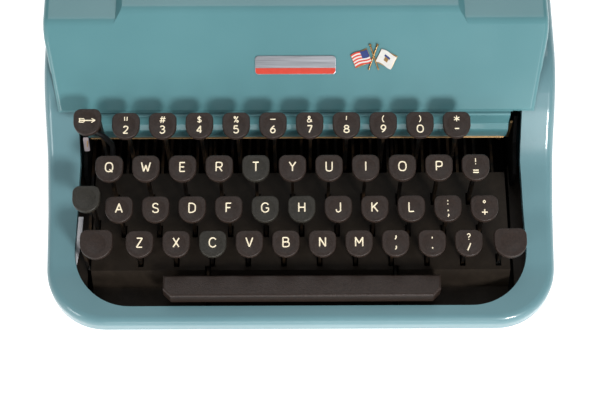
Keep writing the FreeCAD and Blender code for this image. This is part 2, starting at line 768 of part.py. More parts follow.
def rectangle(sketch, middle, width, depth):
    """A rectangle about a middle point."""
    across, along = middle
    polygon(sketch, [(f"{across} - ({width}) / 2", f"{along} - ({depth}) / 2"),
                     (f"{across} + ({width}) / 2", f"{along} - ({depth}) / 2"),
                     (f"{across} + ({width}) / 2", f"{along} + ({depth}) / 2"),
                     (f"{across} - ({width}) / 2", f"{along} + ({depth}) / 2")])


def base_frame():
    """The pan, two side plates, the rod that all key levers turn on, and the trays with the spool posts."""
    pan = new_body("PanSheet")
    plan = sketch_on(pan, "XY_Plane", "PanPlan", "foot_height")
    polygon(plan, [("-pan_half_width", "-pan_half_length"), ("pan_half_width", "-pan_half_length"),
                   ("pan_half_width", "pan_half_length"), ("-pan_half_width", "pan_half_length")])
    pad(pan, plan, "PanPad", "pan_top - foot_height")
    round_edges(pan, "PanCorners", "20", lambda p, ends: upright(ends))
    pieces = [pan]
    for name, across in (("LeftSide", "-side_plate_inner - side_plate / 2"),
                         ("RightSide", "side_plate_inner + side_plate / 2")):
        plate = new_body(name)
        plate.setExpression("Placement.Base.x", bound(across))
        side = sketch_on(plate, "YZ_Plane", name + "Profile")
        polygon(side, [("-62", "pan_top - 0.5"), ("112", "pan_top - 0.5"), ("112", "side_plate_top - 12"),
                       ("100", "side_plate_top"), ("-36", "side_plate_top"), ("-46", "side_plate_top - 12"),
                       ("-62", "side_plate_top - 18")])
        pad(plate, side, name + "Pad", "side_plate", both_ways=True)
        pieces.append(plate)
    pieces.append(rod("PivotRod", ("-side_plate_inner - side_plate / 2", "pivot_y", "pivot_z"), "pivot_rod",
                      "2 * side_plate_inner + side_plate", "x"))
    for sign, name in (("-", "Left"), ("", "Right")):
        inner = "-side_plate_inner - side_plate / 2" if sign else "spool_x - 12"
        outer = f"({inner}) + side_plate_inner + side_plate / 2 - spool_x + 12"
        pieces.append(box(name + "Tray", (inner, "-12", "side_plate_top - 2"),
                          (outer, "12", "side_plate_top")))
        pieces.append(rod(name + "Post", (f"{sign}spool_x", "0", "side_plate_top - 1"), "spool_post",
                          "spool_bottom + spool_height - side_plate_top + 3"))
    return keep(joined("BaseFrame", *pieces), "base_frame")


def rubber_feet():
    """Four rubber feet under the pan."""
    feet = []
    for index, (side, end) in enumerate((("-", "-"), ("", "-"), ("-", ""), ("", ""))):
        feet.append(primitive("Cone", f"Foot{index}", (f"{side}foot_x", f"{end}foot_y", "0"),
                              Radius1="foot_radius - 1.5", Radius2="foot_radius", Height="foot_height"))
    return keep(joined("RubberFeet", *feet), "rubber_feet")


def type_basket():
    """The segment with its fan of typebars at rest, on the cross bar that the shift moves down."""
    bars = new_body("Typebars")
    bars.setExpression("Placement.Base.x", bound("print_x"))
    bars.setExpression("Placement.Base.z", bound("print_z"))
    bars.Placement.Rotation = FreeCAD.Rotation(FreeCAD.Vector(0, 1, 0), -value("fan_angle") / 2)
    side = sketch_on(bars, "YZ_Plane", "TypebarSide")
    slug = "print_y + 1 - bar_length"
    polygon(side, [("print_y + 5", "-bar_length"), ("print_y + 5", "-bar_length + 4"),
                   (f"{slug} + 4", "-bar_length + 4"), (f"{slug} + 4", "-slug_radius"),
                   (f"{slug} - 1", "-slug_radius"), (f"{slug} - 1", "-bar_length")])
    blade = pad(bars, side, "TypebarBlade", "bar_thick", both_ways=True)
    fan = bars.newObject("PartDesign::PolarPattern", "TypebarFan")
    fan.Originals = [blade]
    fan.Axis = (next(item for item in bars.Origin.OriginFeatures if item.Role == "Y_Axis"), [""])
    fan.setExpression("Angle", bound("fan_angle"))
    fan.Occurrences = TYPEBARS
    bars.Tip = fan
    doc.recompute()
    reach = value("fan_angle") + 6
    segment = ring_sector("Segment", "bar_length + 9", "bar_length - 4.5", reach)
    cross_bar = box("BasketBar", ("-side_plate_inner + 2.5", "print_y - 3", "print_z - bar_length - 17"),
                    ("side_plate_inner - 2.5", "print_y + 5", "print_z - bar_length - 8"))
    return keep(joined("TypeBasket", bars, segment, cross_bar), "type_basket")


def ring_sector(name, outer, inner, reach):
    """Part of a thick ring about the print point, hanging below it."""
    wedges = []
    for part, radius, start, depth in (("Outer", outer, "print_y - 4", "10"),
                                       ("Inner", inner, "print_y - 5", "12")):
        wedge = primitive("Cylinder", name + part, ("print_x", start, "print_z"), Radius=radius, Height=depth)
        upright_axis = FreeCAD.Rotation(FreeCAD.Vector(1, 0, 0), -90)
        opening = reach if part == "Outer" else 360.0
        wedge.Angle = opening
        wedge.Placement.Rotation = upright_axis * FreeCAD.Rotation(FreeCAD.Vector(0, 0, 1), 90 - opening / 2)
        wedges.append(wedge)
    return cut(name, *wedges)


def both_sides(corners):
    """A profile that is alike on both sides of the rail, from its right-hand corners above the deck."""
    right = [(f"rail_y + {across}", f"deck_top + {height}") for across, height in corners]
    left = [(f"rail_y - {across}", f"deck_top + {height}") for across, height in reversed(corners)]
    return right + left


def carriage_rail():
    """The fixed rail on the deck, with the head that the carriage's channel hooks under."""
    body = new_body("CarriageRail")
    side = sketch_on(body, "YZ_Plane", "RailProfile")
    polygon(side, both_sides([("6", "0"), ("6", "2"), ("2", "2"), ("2", "8"), ("4", "8"), ("4", "11")]))
    pad(body, side, "RailPad", "2 * rail_half_length", both_ways=True)
    return keep(body, "carriage_rail")


def carriage_frame():
    """The moving carriage: a channel round the rail, with a cheek at each end that holds the platen."""
    channel = new_body("CarriageChannel")
    side = sketch_on(channel, "YZ_Plane", "ChannelProfile")
    polygon(side, both_sides([("4.6", "channel_lift"), ("4.6", "7.6"), ("2.6", "7.6"), ("2.6", "4"),
                              ("8", "4"), ("8", "14")]))
    pad(channel, side, "ChannelPad", "2 * cheek_inner + 2", both_ways=True)
    pieces = [channel]
    for name, across in (("LeftCheek", "-cheek_inner - cheek_thick / 2"),
                         ("RightCheek", "cheek_inner + cheek_thick / 2")):
        cheek = new_body(name)
        cheek.setExpression("Placement.Base.x", bound(across))
        face = sketch_on(cheek, "YZ_Plane", name + "Profile")
        polygon(face, [("cheek_front", "cheek_low"), ("60", "deck_top + channel_lift"),
                       ("88", "deck_top + channel_lift"), ("cheek_back", "cheek_low"),
                       ("cheek_back - 2", "cheek_high - 3"), ("68", "cheek_high"),
                       ("cheek_front + 7", "cheek_high - 1"), ("cheek_front", "cheek_high - 7")])
        circle(face, ("platen_y", "platen_z"), "platen_shaft + running_fit")
        pad(cheek, face, name + "Pad", "cheek_thick", both_ways=True)
        pieces.append(cheek)
    shelf = box("LeverShelf", ("-return_x - 8", "return_y - 8", "return_z - 8"),
                ("-cheek_inner - 1", "return_y + 8", "return_z - 4.5"))
    pin = rod("LeverPin", ("-return_x", "return_y", "return_z - 6"), "2.5", "11")
    return keep(joined("CarriageFrame", shelf, pin, *pieces), "carriage_frame")


def platen():
    """The rubber roller on its shaft, with a fluted knob at each end."""
    body = new_body("Platen")
    body.setExpression("Placement.Base.y", bound("platen_y"))
    body.setExpression("Placement.Base.z", bound("platen_z"))
    half = sketch_on(body, "XY_Plane", "PlatenProfile")
    right = [("platen_half_length", "platen_radius"), ("platen_half_length", "platen_shaft"),
             ("knob_inner", "platen_shaft"), ("knob_inner", "knob_radius - 1"),
             ("knob_inner + 1", "knob_radius"), ("knob_outer - 2", "knob_radius"),
             ("knob_outer", "knob_radius - 2"), ("knob_outer", "0")]
    left = [(f"-({across})", radius) for across, radius in reversed(right)]
    polygon(half, left + right)
    turned = body.newObject("PartDesign::Revolution", "PlatenTurned")
    turned.Profile = half
    turned.ReferenceAxis = (half, ["H_Axis"])
    turned.Angle = 360.0
    doc.recompute()
    for name, start in (("Left", "-knob_outer - 1"), ("Right", "knob_inner - 1")):
        flute = sketch_on(body, "YZ_Plane", name + "Flute", start)
        circle(flute, ("knob_radius + 0.8", "0"), "1.5")
        groove = pocket(body, flute, name + "FluteCut", "knob_outer - knob_inner + 2", reverse=True)
        ring = body.newObject("PartDesign::PolarPattern", name + "Flutes")
        ring.Originals = [groove]
        ring.Axis = (next(item for item in body.Origin.OriginFeatures if item.Role == "X_Axis"), [""])
        ring.Angle = 360.0
        ring.Occurrences = 20
        body.Tip = ring
        doc.recompute()
    return keep(body, "platen")


def return_lever():
    """The carriage return lever: a hub, a long flat arm above the left knob and a finger tab."""
    hub = rod("LeverHub", ("-return_x", "return_y", "return_z - 4"), "6.5", "7")
    arm = new_body("LeverArm")
    plan = sketch_on(arm, "XY_Plane", "LeverPlan", "return_z")
    polygon(plan, [("-return_x + 5", "return_y"), ("-return_x - 5", "return_y"),
                   ("-return_x - 12", "return_y - 28"), ("-return_x - 14", "return_y - return_reach"),
                   ("-return_x - 5", "return_y - return_reach"), ("-return_x - 3", "return_y - 28")])
    pad(arm, plan, "LeverPad", "3")
    round_edges(arm, "LeverCorners", "3", lambda p, ends: upright(ends) and p.y < value("return_y") - 20)
    tab = box("LeverTab", ("-return_x - 14", "return_y - return_reach", "return_z"),
              ("-return_x - 11.5", "return_y - 29", "return_z + 10"))
    hole = rod("LeverHole", ("-return_x", "return_y", "return_z - 5"), "2.5 + running_fit", "9")
    return keep(cut("ReturnLever", joined("LeverPlate", hub, arm, tab), hole), "return_lever")


def paper_table():
    """The sloping plate behind the platen that the paper rests on."""
    body = new_body("TableSheet")
    side = sketch_on(body, "YZ_Plane", "TableProfile")
    polygon(side, [("63.2", "table_foot"), ("64.6", "table_foot - 1"), ("98.2", "table_top - 0.8"),
                   ("96.8", "table_top")])
    pad(body, side, "TablePad", "2 * platen_half_length", both_ways=True)
    high = value("table_top") - 2

    def top_corner(point, ends):
        return abs(ends[0].x - ends[-1].x) < 0.01 and point.z > high and math.dist(ends[0], ends[-1]) < 3

    round_edges(body, "TableCorners", "8", top_corner)
    ears = [box(name, (start, "68", "104"), (f"{start} + cheek_inner - platen_half_length + 1", "76", "111"))
            for name, start in (("LeftEar", "-cheek_inner"), ("RightEar", "platen_half_length - 1"))]
    return keep(joined("PaperTable", body, *ears), "paper_table")


def spool(name, label, across, wound):
    """A ribbon spool with the ribbon that is wound on it."""
    body = new_body(name)
    body.setExpression("Placement.Base.x", bound(across))
    body.setExpression("Placement.Base.z", bound("spool_bottom"))
    half = sketch_on(body, "XZ_Plane", name + "Profile")
    bore = "spool_post + running_fit"
    polygon(half, [(bore, "0"), ("spool_radius", "0"), ("spool_radius", "1"), (wound, "1"),
                   (wound, "spool_height - 1"), ("spool_radius", "spool_height - 1"),
                   ("spool_radius", "spool_height"), (bore, "spool_height")])
    turned = body.newObject("PartDesign::Revolution", name + "Turned")
    turned.Profile = half
    turned.ReferenceAxis = (half, ["V_Axis"])
    turned.Angle = 360.0
    doc.recompute()
    return keep(body, label)


def check_and_export():
    """Stops at anything that failed or is not a closed solid, then writes one STEP file per sub-part."""
    doc.recompute()
    for item in doc.Objects:
        if "Invalid" in item.State or "Error" in item.State:
            raise RuntimeError(f"{item.Name} failed: {item.State}")
    os.makedirs("parts", exist_ok=True)
    for item in kept:
        shape = item.Shape
        if shape.isNull() or not shape.isValid() or not shape.Solids:
            raise RuntimeError(f"{item.Label} is not a valid solid")
        shape.exportStep(f"parts/{item.Label}.step")
        print(item.Label, len(shape.Solids), round(shape.Volume))


fill_sheet()
body_shell()
ribbon_cover()
front_apron()
base_frame()
rubber_feet()
keyboard_plate()
type_basket()
carriage_rail()
carriage_frame()
platen()
return_lever()
paper_table()
spool("LeftSpool", "spool_left", "-spool_x", "15")
spool("RightSpool", "spool_right", "spool_x", "11")
space_bar()
shift_keys()
shift_lock_key()
backspace_key()
typing_keys()
check_and_export()
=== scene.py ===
"""The look of a 1950s portable typewriter: materials, key legends, name plate and small trim."""
import math

import bmesh
import bpy
from mathutils import Matrix, Vector


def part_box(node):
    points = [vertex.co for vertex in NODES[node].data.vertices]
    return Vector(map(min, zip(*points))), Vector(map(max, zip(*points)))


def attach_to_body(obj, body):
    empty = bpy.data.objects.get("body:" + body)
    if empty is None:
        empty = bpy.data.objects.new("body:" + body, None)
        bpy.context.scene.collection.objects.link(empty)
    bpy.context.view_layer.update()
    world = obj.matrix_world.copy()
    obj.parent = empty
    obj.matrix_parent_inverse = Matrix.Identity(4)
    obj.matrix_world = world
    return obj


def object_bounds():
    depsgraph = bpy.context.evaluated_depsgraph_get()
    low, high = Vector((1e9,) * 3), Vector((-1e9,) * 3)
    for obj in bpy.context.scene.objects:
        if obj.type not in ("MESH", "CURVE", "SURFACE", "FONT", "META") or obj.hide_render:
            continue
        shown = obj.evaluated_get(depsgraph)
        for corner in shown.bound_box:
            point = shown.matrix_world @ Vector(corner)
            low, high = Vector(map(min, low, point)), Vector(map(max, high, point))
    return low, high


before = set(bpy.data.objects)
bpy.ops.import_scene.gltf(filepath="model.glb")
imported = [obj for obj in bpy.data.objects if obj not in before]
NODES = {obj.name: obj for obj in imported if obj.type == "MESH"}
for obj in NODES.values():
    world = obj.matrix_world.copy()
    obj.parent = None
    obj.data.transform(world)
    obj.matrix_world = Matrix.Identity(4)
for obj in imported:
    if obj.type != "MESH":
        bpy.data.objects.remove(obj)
CAD_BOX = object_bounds()
MM = 0.001
X_AXIS = Vector((1, 0, 0))
SIDES = ((-1, "left"), (1, "right"))

# Linear colours.
TEAL = (0.097, 0.240, 0.259)
TEAL_DEEP = (0.086, 0.220, 0.239)
# The shell's teal is a greyer copy of the cover's teal enamel: painted reflection, for the greyish sheen the
# light leaves on its rim.
SHELL_SHEEN_TEAL = (0.116, 0.228, 0.252)
SHELL_SHEEN_TEAL_DEEP = (0.103, 0.207, 0.231)
KEY_BROWN = (0.0255, 0.0158, 0.0120)
KEY_GREEN = (0.0240, 0.0215, 0.0165)
BAR_BROWN = (0.0225, 0.0135, 0.0100)
KNOB_BLACK = (0.016, 0.015, 0.015)
CREAM = (0.95, 0.82, 0.60)
BLACK = (0.0035, 0.0033, 0.0030)
PLATE_BLACK = (0.0165, 0.0120, 0.0085)
GLOSS_BLACK = (0.006, 0.006, 0.006)
CARRIAGE_GREY = (0.055, 0.060, 0.062)
LEVER_DARK = (0.012, 0.011, 0.010)
BRONZE = (0.085, 0.050, 0.026)
INK = (0.006, 0.006, 0.008)
INK_WORN = (0.022, 0.021, 0.024)


# Materials ----------------------------------------------------------------------------------------------


def new_material(name, roughness, metallic=0.0, coat=0.0, coat_roughness=0.05, gloss=0.5):
    """A material with a Principled shader, whose constant values are set on its own sockets."""
    material = bpy.data.materials.new(name)
    material.use_nodes = True
    shader = material.node_tree.nodes["Principled BSDF"]
    shader.inputs["Roughness"].default_value = roughness
    shader.inputs["Metallic"].default_value = metallic
    shader.inputs["Coat Weight"].default_value = coat
    shader.inputs["Coat Roughness"].default_value = coat_roughness
    shader.inputs["Specular IOR Level"].default_value = gloss
    return material, shader


def add_node(material, kind, **inputs):
    """Adds a shader node and fills its inputs by name."""
    node = material.node_tree.nodes.new("ShaderNode" + kind)
    for key, number in inputs.items():
        node.inputs[key.replace("_", " ")].default_value = number
    return node


def join(material, start, end):
    """Links one socket to another."""
    material.node_tree.links.new(start, end)


def object_space(material):
    """Coordinates in metres in the object's own frame."""
    return add_node(material, "TexCoord").outputs["Object"]


def noise(material, scale, detail=3.0, roughness=0.5):
    """Cloudy noise from 0 to 1; a scale of 1000 makes its lumps about a millimetre wide."""
    node = add_node(material, "TexNoise", Scale=scale, Detail=detail, Roughness=roughness)
    join(material, object_space(material), node.inputs["Vector"])
    return node.outputs["Fac"]


def ramp(material, factor, stops):
    """A colour ramp from (place, colour) stops."""
    node = material.node_tree.nodes.new("ShaderNodeValToRGB")
    join(material, factor, node.inputs["Fac"])
    elements = node.color_ramp.elements
    while len(elements) < len(stops):
        elements.new(0.5)
    for element, (place, colour) in zip(elements, stops):
        element.position = place
        element.color = (*colour, 1.0)
    return node.outputs["Color"]


def spread(material, factor, low, high):
    """Maps a 0..1 factor to a range."""
    node = add_node(material, "MapRange", To_Min=low, To_Max=high)
    join(material, factor, node.inputs["Value"])
    return node.outputs["Result"]


def mottle(material, shader, factor, stops):
    """Colours the surface by a factor, with a ramp."""
    join(material, ramp(material, factor, stops), shader.inputs["Base Color"])


def bump(material, shader, height, strength, distance):
    """Bumps the surface by a height factor."""
    node = add_node(material, "Bump", Strength=strength, Distance=distance)
    join(material, height, node.inputs["Height"])
    join(material, node.outputs["Normal"], shader.inputs["Normal"])


def scaled(colour, factor, lift=0.0):
    """A colour made darker or lighter."""
    return tuple(channel * factor + lift for channel in colour)


def enamel(name, colour, deep):
    """Glossy stove enamel: faint clouding, a fine orange peel and slight differences in gloss."""
    material, shader = new_material(name, 0.38, coat=0.45, coat_roughness=0.035, gloss=0.3)
    mottle(material, shader, noise(material, scale=14.0, detail=4.0), [(0.35, deep), (0.65, colour)])
    gloss_patches = noise(material, scale=60.0, detail=5.0)
    join(material, spread(material, gloss_patches, 0.24, 0.38), shader.inputs["Roughness"])
    orange_peel = noise(material, scale=900.0, detail=2.0)
    bump(material, shader, orange_peel, strength=0.05, distance=0.4 * MM)
    return material


def lacquer(name, colour, roughness):
    """Satin lacquer over steel, with a little dust in its colour."""
    material, shader = new_material(name, roughness, gloss=0.12)
    dusty = scaled(colour, 1.6, lift=0.001)
    dust = noise(material, scale=120.0, detail=6.0, roughness=0.65)
    mottle(material, shader, dust, [(0.45, colour), (0.8, dusty)])
    grit = noise(material, scale=1500.0)
    bump(material, shader, grit, strength=0.12, distance=0.3 * MM)
    return material


def moulded_plastic(name, colour, roughness=0.42):
    """Moulded plastic with a leathery grain, as on old key caps."""
    material, shader = new_material(name, roughness, gloss=0.3)
    patches = noise(material, scale=700.0, detail=4.0, roughness=0.6)
    mottle(material, shader, patches, [(0.3, scaled(colour, 0.72)), (0.7, scaled(colour, 1.25))])
    cells = add_node(material, "TexVoronoi", Scale=1700.0)
    join(material, object_space(material), cells.inputs["Vector"])
    bump(material, shader, cells.outputs["Distance"], strength=0.35, distance=0.25 * MM)
    return material


def plain_paint(name, colour, roughness, coat=0.0):
    """Smooth paint or enamel for small trim, with the faintest mottling."""
    material, shader = new_material(name, roughness, coat=coat)
    lighter = tuple(min(1.0, channel) for channel in scaled(colour, 1.08, lift=0.004))
    mottle(material, shader, noise(material, scale=500.0), [(0.3, colour), (0.7, lighter)])
    brush_marks = noise(material, scale=2500.0)
    bump(material, shader, brush_marks, strength=0.05, distance=0.1 * MM)
    return material


def brushed_metal(name, colour, roughness):
    """Metal with fine scratches along X."""
    material, shader = new_material(name, roughness, metallic=1.0)
    stretch = add_node(material, "Mapping", Scale=(1.0, 60.0, 60.0))
    join(material, object_space(material), stretch.inputs["Vector"])
    grain = add_node(material, "TexNoise", Scale=40.0, Detail=5.0)
    join(material, stretch.outputs["Vector"], grain.inputs["Vector"])
    scratches = grain.outputs["Fac"]
    mottle(material, shader, scratches, [(0.35, scaled(colour, 0.7)), (0.65, colour)])
    wear = spread(material, scratches, roughness * 0.7, roughness * 1.3)
    join(material, wear, shader.inputs["Roughness"])
    bump(material, shader, scratches, strength=0.08, distance=0.1 * MM)
    return material


def tarnished_steel():
    """The key levers: dark steel that has browned in patches."""
    material, shader = new_material("tarnished_steel", 0.45, metallic=0.85)
    patches = noise(material, scale=90.0, detail=6.0, roughness=0.7)
    mottle(material, shader, patches, [(0.45, LEVER_DARK), (0.68, BRONZE)])
    join(material, spread(material, patches, 0.35, 0.65), shader.inputs["Roughness"])
    pitting = noise(material, scale=800.0, detail=4.0)
    bump(material, shader, pitting, strength=0.2, distance=0.2 * MM)
    return material


def rubber(name, colour, roughness):
    """Rubber with a fine matt skin, paler where it is worn."""
    material, shader = new_material(name, roughness)
    worn = scaled(colour, 1.8, lift=0.006)
    wear = noise(material, scale=45.0, detail=6.0, roughness=0.7)
    mottle(material, shader, wear, [(0.4, colour), (0.75, worn)])
    skin = noise(material, scale=2200.0)
    bump(material, shader, skin, strength=0.15, distance=0.2 * MM)
    return material


def ribbon_cloth():
    """Inked ribbon: a fine weave, nearly black."""
    material, shader = new_material("ribbon_cloth", 0.75)
    weave = add_node(material, "TexWave", Scale=900.0, Distortion=0.4)
    join(material, object_space(material), weave.inputs["Vector"])
    mottle(material, shader, weave.outputs["Fac"], [(0.2, INK), (0.8, INK_WORN)])
    bump(material, shader, weave.outputs["Fac"], strength=0.4, distance=0.2 * MM)
    return material


COVER_ENAMEL = enamel("teal_enamel", TEAL, TEAL_DEEP)
# The shell's enamel is greyer than the cover's as painted reflection of its rim's sheen.
SHELL_SHEEN_ENAMEL = enamel("shell_sheen_enamel", SHELL_SHEEN_TEAL, SHELL_SHEEN_TEAL_DEEP)
BLACK_LACQUER = lacquer("black_lacquer", BLACK, roughness=0.55)
PLATE_LACQUER = lacquer("plate_lacquer", PLATE_BLACK, roughness=0.5)
GREY_LACQUER = lacquer("carriage_lacquer", CARRIAGE_GREY, roughness=0.35)
ARM_BLACK = lacquer("arm_black", GLOSS_BLACK, roughness=0.32)
KEY_PLASTIC = moulded_plastic("key_plastic", KEY_BROWN)
KEY_PLASTIC_GREEN = moulded_plastic("key_plastic_green", KEY_GREEN)
BAR_PLASTIC = moulded_plastic("bar_plastic", BAR_BROWN, roughness=0.38)
KNOB_PLASTIC = moulded_plastic("knob_plastic", KNOB_BLACK, roughness=0.30)
LEVER_STEEL = tarnished_steel()
BLUED_STEEL = brushed_metal("blued_steel", (0.30, 0.30, 0.32), roughness=0.32)
GROUND_STEEL = brushed_metal("ground_steel", (0.55, 0.55, 0.56), roughness=0.26)
CHROME = brushed_metal("chrome_plate", (0.80, 0.81, 0.83), roughness=0.09)
BRASS = brushed_metal("aged_brass", (0.42, 0.26, 0.12), roughness=0.35)
PLATE_SILVER = brushed_metal("plate_silver", (0.46, 0.47, 0.50), roughness=0.38)
PIN_GOLD = brushed_metal("pin_gold", (0.50, 0.30, 0.12), roughness=0.3)
PLATEN_RUBBER = rubber("platen_rubber", (0.013, 0.013, 0.014), roughness=0.42)
FOOT_RUBBER = rubber("foot_rubber", (0.02, 0.02, 0.02), roughness=0.75)
RIBBON = ribbon_cloth()
LEGEND = plain_paint("legend_cream", CREAM, roughness=0.55)
PLATE_RED = plain_paint("plate_red", (0.56, 0.045, 0.022), roughness=0.3, coat=0.5)
PIN_WHITE = plain_paint("pin_white", (0.62, 0.60, 0.56), roughness=0.25, coat=0.6)
PIN_BLUE = plain_paint("pin_blue", (0.02, 0.04, 0.16), roughness=0.25, coat=0.6)
STRIP_WHITE = plain_paint("strip_white", (0.75, 0.75, 0.78), roughness=0.6)
TAB_GREY = plain_paint("tab_grey", (0.34, 0.29, 0.30), roughness=0.5)


# Assigning materials to the frame's own nodes -----------------------------------------------------------

CAP_HEIGHT = 7.2 * MM
BAR_HEIGHT = 8.7 * MM
APRON_PIN_HEIGHT = 5.2 * MM
ROLLER_HALF = 119.2 * MM
KNOB_START = 137.8 * MM
SPOOL_FLANGE = 1.1 * MM
GREEN_KEYS = ("key_t", "key_c", "key_g", "key_h", "shift_lock_key")
OTHER_KEYS = ("shift_keys", "shift_lock_key", "backspace_key")


def paint(node, *materials, choose=None):
    """Gives a node its materials; choose picks one for each polygon from the polygon's centre."""
    mesh = NODES[node].data
    mesh.materials.clear()
    for material in materials:
        mesh.materials.append(material)
    for polygon in mesh.polygons:
        polygon.material_index = choose(polygon.center) if choose else 0


def paint_above(node, edge, upper, lower):
    """One material above a height, and another below it."""
    paint(node, upper, lower, choose=lambda centre: 0 if centre.z > edge else 1)


def paint_keys():
    """Caps are plastic, and the levers and stems below them are steel."""
    for node in NODES:
        if node.startswith("key_") or node in OTHER_KEYS:
            cap = KEY_PLASTIC_GREEN if node in GREEN_KEYS else KEY_PLASTIC
            paint_above(node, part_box(node)[1].z - CAP_HEIGHT, cap, LEVER_STEEL)
    paint_above("space_bar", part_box("space_bar")[1].z - BAR_HEIGHT, BAR_PLASTIC, LEVER_STEEL)


def platen_part(centre):
    """The platen's roller, its shaft or its knobs."""
    across = abs(centre.x)
    if across < ROLLER_HALF:
        return 0
    return 2 if across > KNOB_START else 1


def paint_frame():
    """Every other node: one finish each, or more where one solid has several materials."""
    finishes = {
        "body_shell": SHELL_SHEEN_ENAMEL, "ribbon_cover": COVER_ENAMEL, "base_frame": BLACK_LACQUER,
        "keyboard_plate": PLATE_LACQUER, "rubber_feet": FOOT_RUBBER, "type_basket": BLUED_STEEL,
        "carriage_rail": GROUND_STEEL, "carriage_frame": GREY_LACQUER, "paper_table": GREY_LACQUER,
        "return_lever": CHROME,
    }
    for node, finish in finishes.items():
        paint(node, finish)
    paint("platen", PLATEN_RUBBER, GROUND_STEEL, KNOB_PLASTIC, choose=platen_part)
    pin_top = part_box("front_apron")[0].z + APRON_PIN_HEIGHT
    paint("front_apron", COVER_ENAMEL, BRASS, choose=lambda centre: 1 if centre.z < pin_top else 0)
    for node in ("spool_left", "spool_right"):
        low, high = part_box(node)
        bottom, top = low.z + SPOOL_FLANGE, high.z - SPOOL_FLANGE
        paint(node, RIBBON, BLUED_STEEL,
              choose=lambda centre, bottom=bottom, top=top: 0 if bottom < centre.z < top else 1)


# Making pieces ------------------------------------------------------------------------------------------


def add_object(name, data):
    """Puts an object with its data in the scene."""
    thing = bpy.data.objects.new(name, data)
    bpy.context.scene.collection.objects.link(thing)
    return thing


def mesh_from(work, name, place=None):
    """Moves a bmesh to its place and turns it into a mesh."""
    if place is not None:
        work.transform(place)
    mesh = bpy.data.meshes.new(name)
    work.to_mesh(mesh)
    work.free()
    return mesh


def attach(piece, body):
    """Lets a piece ride on a body."""
    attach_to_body(piece, body)
    return piece


def finish_piece(name, mesh, material, body, smooth=True):
    """Makes a mesh a piece that rides on a body."""
    if not mesh.materials:
        mesh.materials.append(material)
    for polygon in mesh.polygons:
        polygon.use_smooth = smooth
    return attach(add_object(name, mesh), body)


def soften(piece, width):
    """Bevels the sharp edges of a piece."""
    bevel = piece.modifiers.new("Edges", "BEVEL")
    bevel.width = width
    bevel.segments = 3
    bevel.limit_method = "ANGLE"
    bevel.harden_normals = False


def raise_faces(work, faces, height):
    """Extrudes flat faces to a height."""
    raised = bmesh.ops.extrude_face_region(work, geom=faces)["geom"]
    for item in raised:
        if isinstance(item, bmesh.types.BMVert):
            item.co.z = height
    bmesh.ops.recalc_face_normals(work, faces=work.faces)


def outline_prism(name, outline, low, high, material, body, edge=0.0, place=Matrix.Identity(4)):
    """A flat plate: an outline of (x, y) points raised from low to high, then placed."""
    work = bmesh.new()
    face = work.faces.new([work.verts.new((x, y, low)) for x, y in outline])
    raise_faces(work, [face], high)
    piece = finish_piece(name, mesh_from(work, name, place), material, body, smooth=False)
    if edge:
        soften(piece, edge)


def turned(name, profile, place, material, body, steps=48):
    """A body of revolution about its own Z from (radius, height) points, then placed."""
    work = bmesh.new()
    line = [work.verts.new((radius, 0, height)) for radius, height in profile]
    edges = [work.edges.new(pair) for pair in zip(line, line[1:])]
    bmesh.ops.spin(work, geom=line + edges, cent=(0, 0, 0), axis=(0, 0, 1), angle=2 * math.pi,
                   steps=steps, use_merge=True)
    bmesh.ops.remove_doubles(work, verts=work.verts, dist=0.001 * MM)
    bmesh.ops.recalc_face_normals(work, faces=work.faces)
    piece = finish_piece(name, mesh_from(work, name, place), material, body)
    crease = piece.modifiers.new("Creases", "EDGE_SPLIT")
    crease.split_angle = math.radians(35)


def round_curve(name, radius, resolution, material):
    """An empty curve with a round section and closed ends."""
    curve = bpy.data.curves.new(name, "CURVE")
    curve.dimensions = "3D"
    curve.bevel_depth = radius
    curve.bevel_resolution = resolution
    curve.use_fill_caps = True
    curve.materials.append(material)
    return curve


def tube(name, points, radius, material, body, smooth_path=False):
    """A round wire or rod along points."""
    curve = round_curve(name, radius, 5, material)
    spline = curve.splines.new("NURBS" if smooth_path else "POLY")
    spline.points.add(len(points) - 1)
    for point, place in zip(spline.points, points):
        point.co = (*place, 1.0)
    if smooth_path:
        spline.order_u = 3
        spline.use_endpoint_u = True
        spline.resolution_u = 10
    attach(add_object(name, curve), body)


def rounded_rectangle(width, height, radius, steps=6):
    """Points round a rectangle with round corners, centred on the origin."""
    points = []
    for x, y, start in ((1, 1, 0), (-1, 1, 90), (-1, -1, 180), (1, -1, 270)):
        for step in range(steps + 1):
            angle = math.radians(start + 90 * step / steps)
            points.append((x * (width / 2 - radius) + radius * math.cos(angle),
                           y * (height / 2 - radius) + radius * math.sin(angle)))
    return points


def along(axis, place):
    """A frame at a place whose Z runs along the given axis."""
    return Matrix.Translation(place) @ Vector(axis).to_track_quat("Z", "Y").to_matrix().to_4x4()


# Key legends --------------------------------------------------------------------------------------------
# Each sign is drawn in strokes, as an engraver does: "x,y x,y ..." in a box one unit high, with the base
# line at 0. A stroke that starts with ~ is a smooth curve through its points.

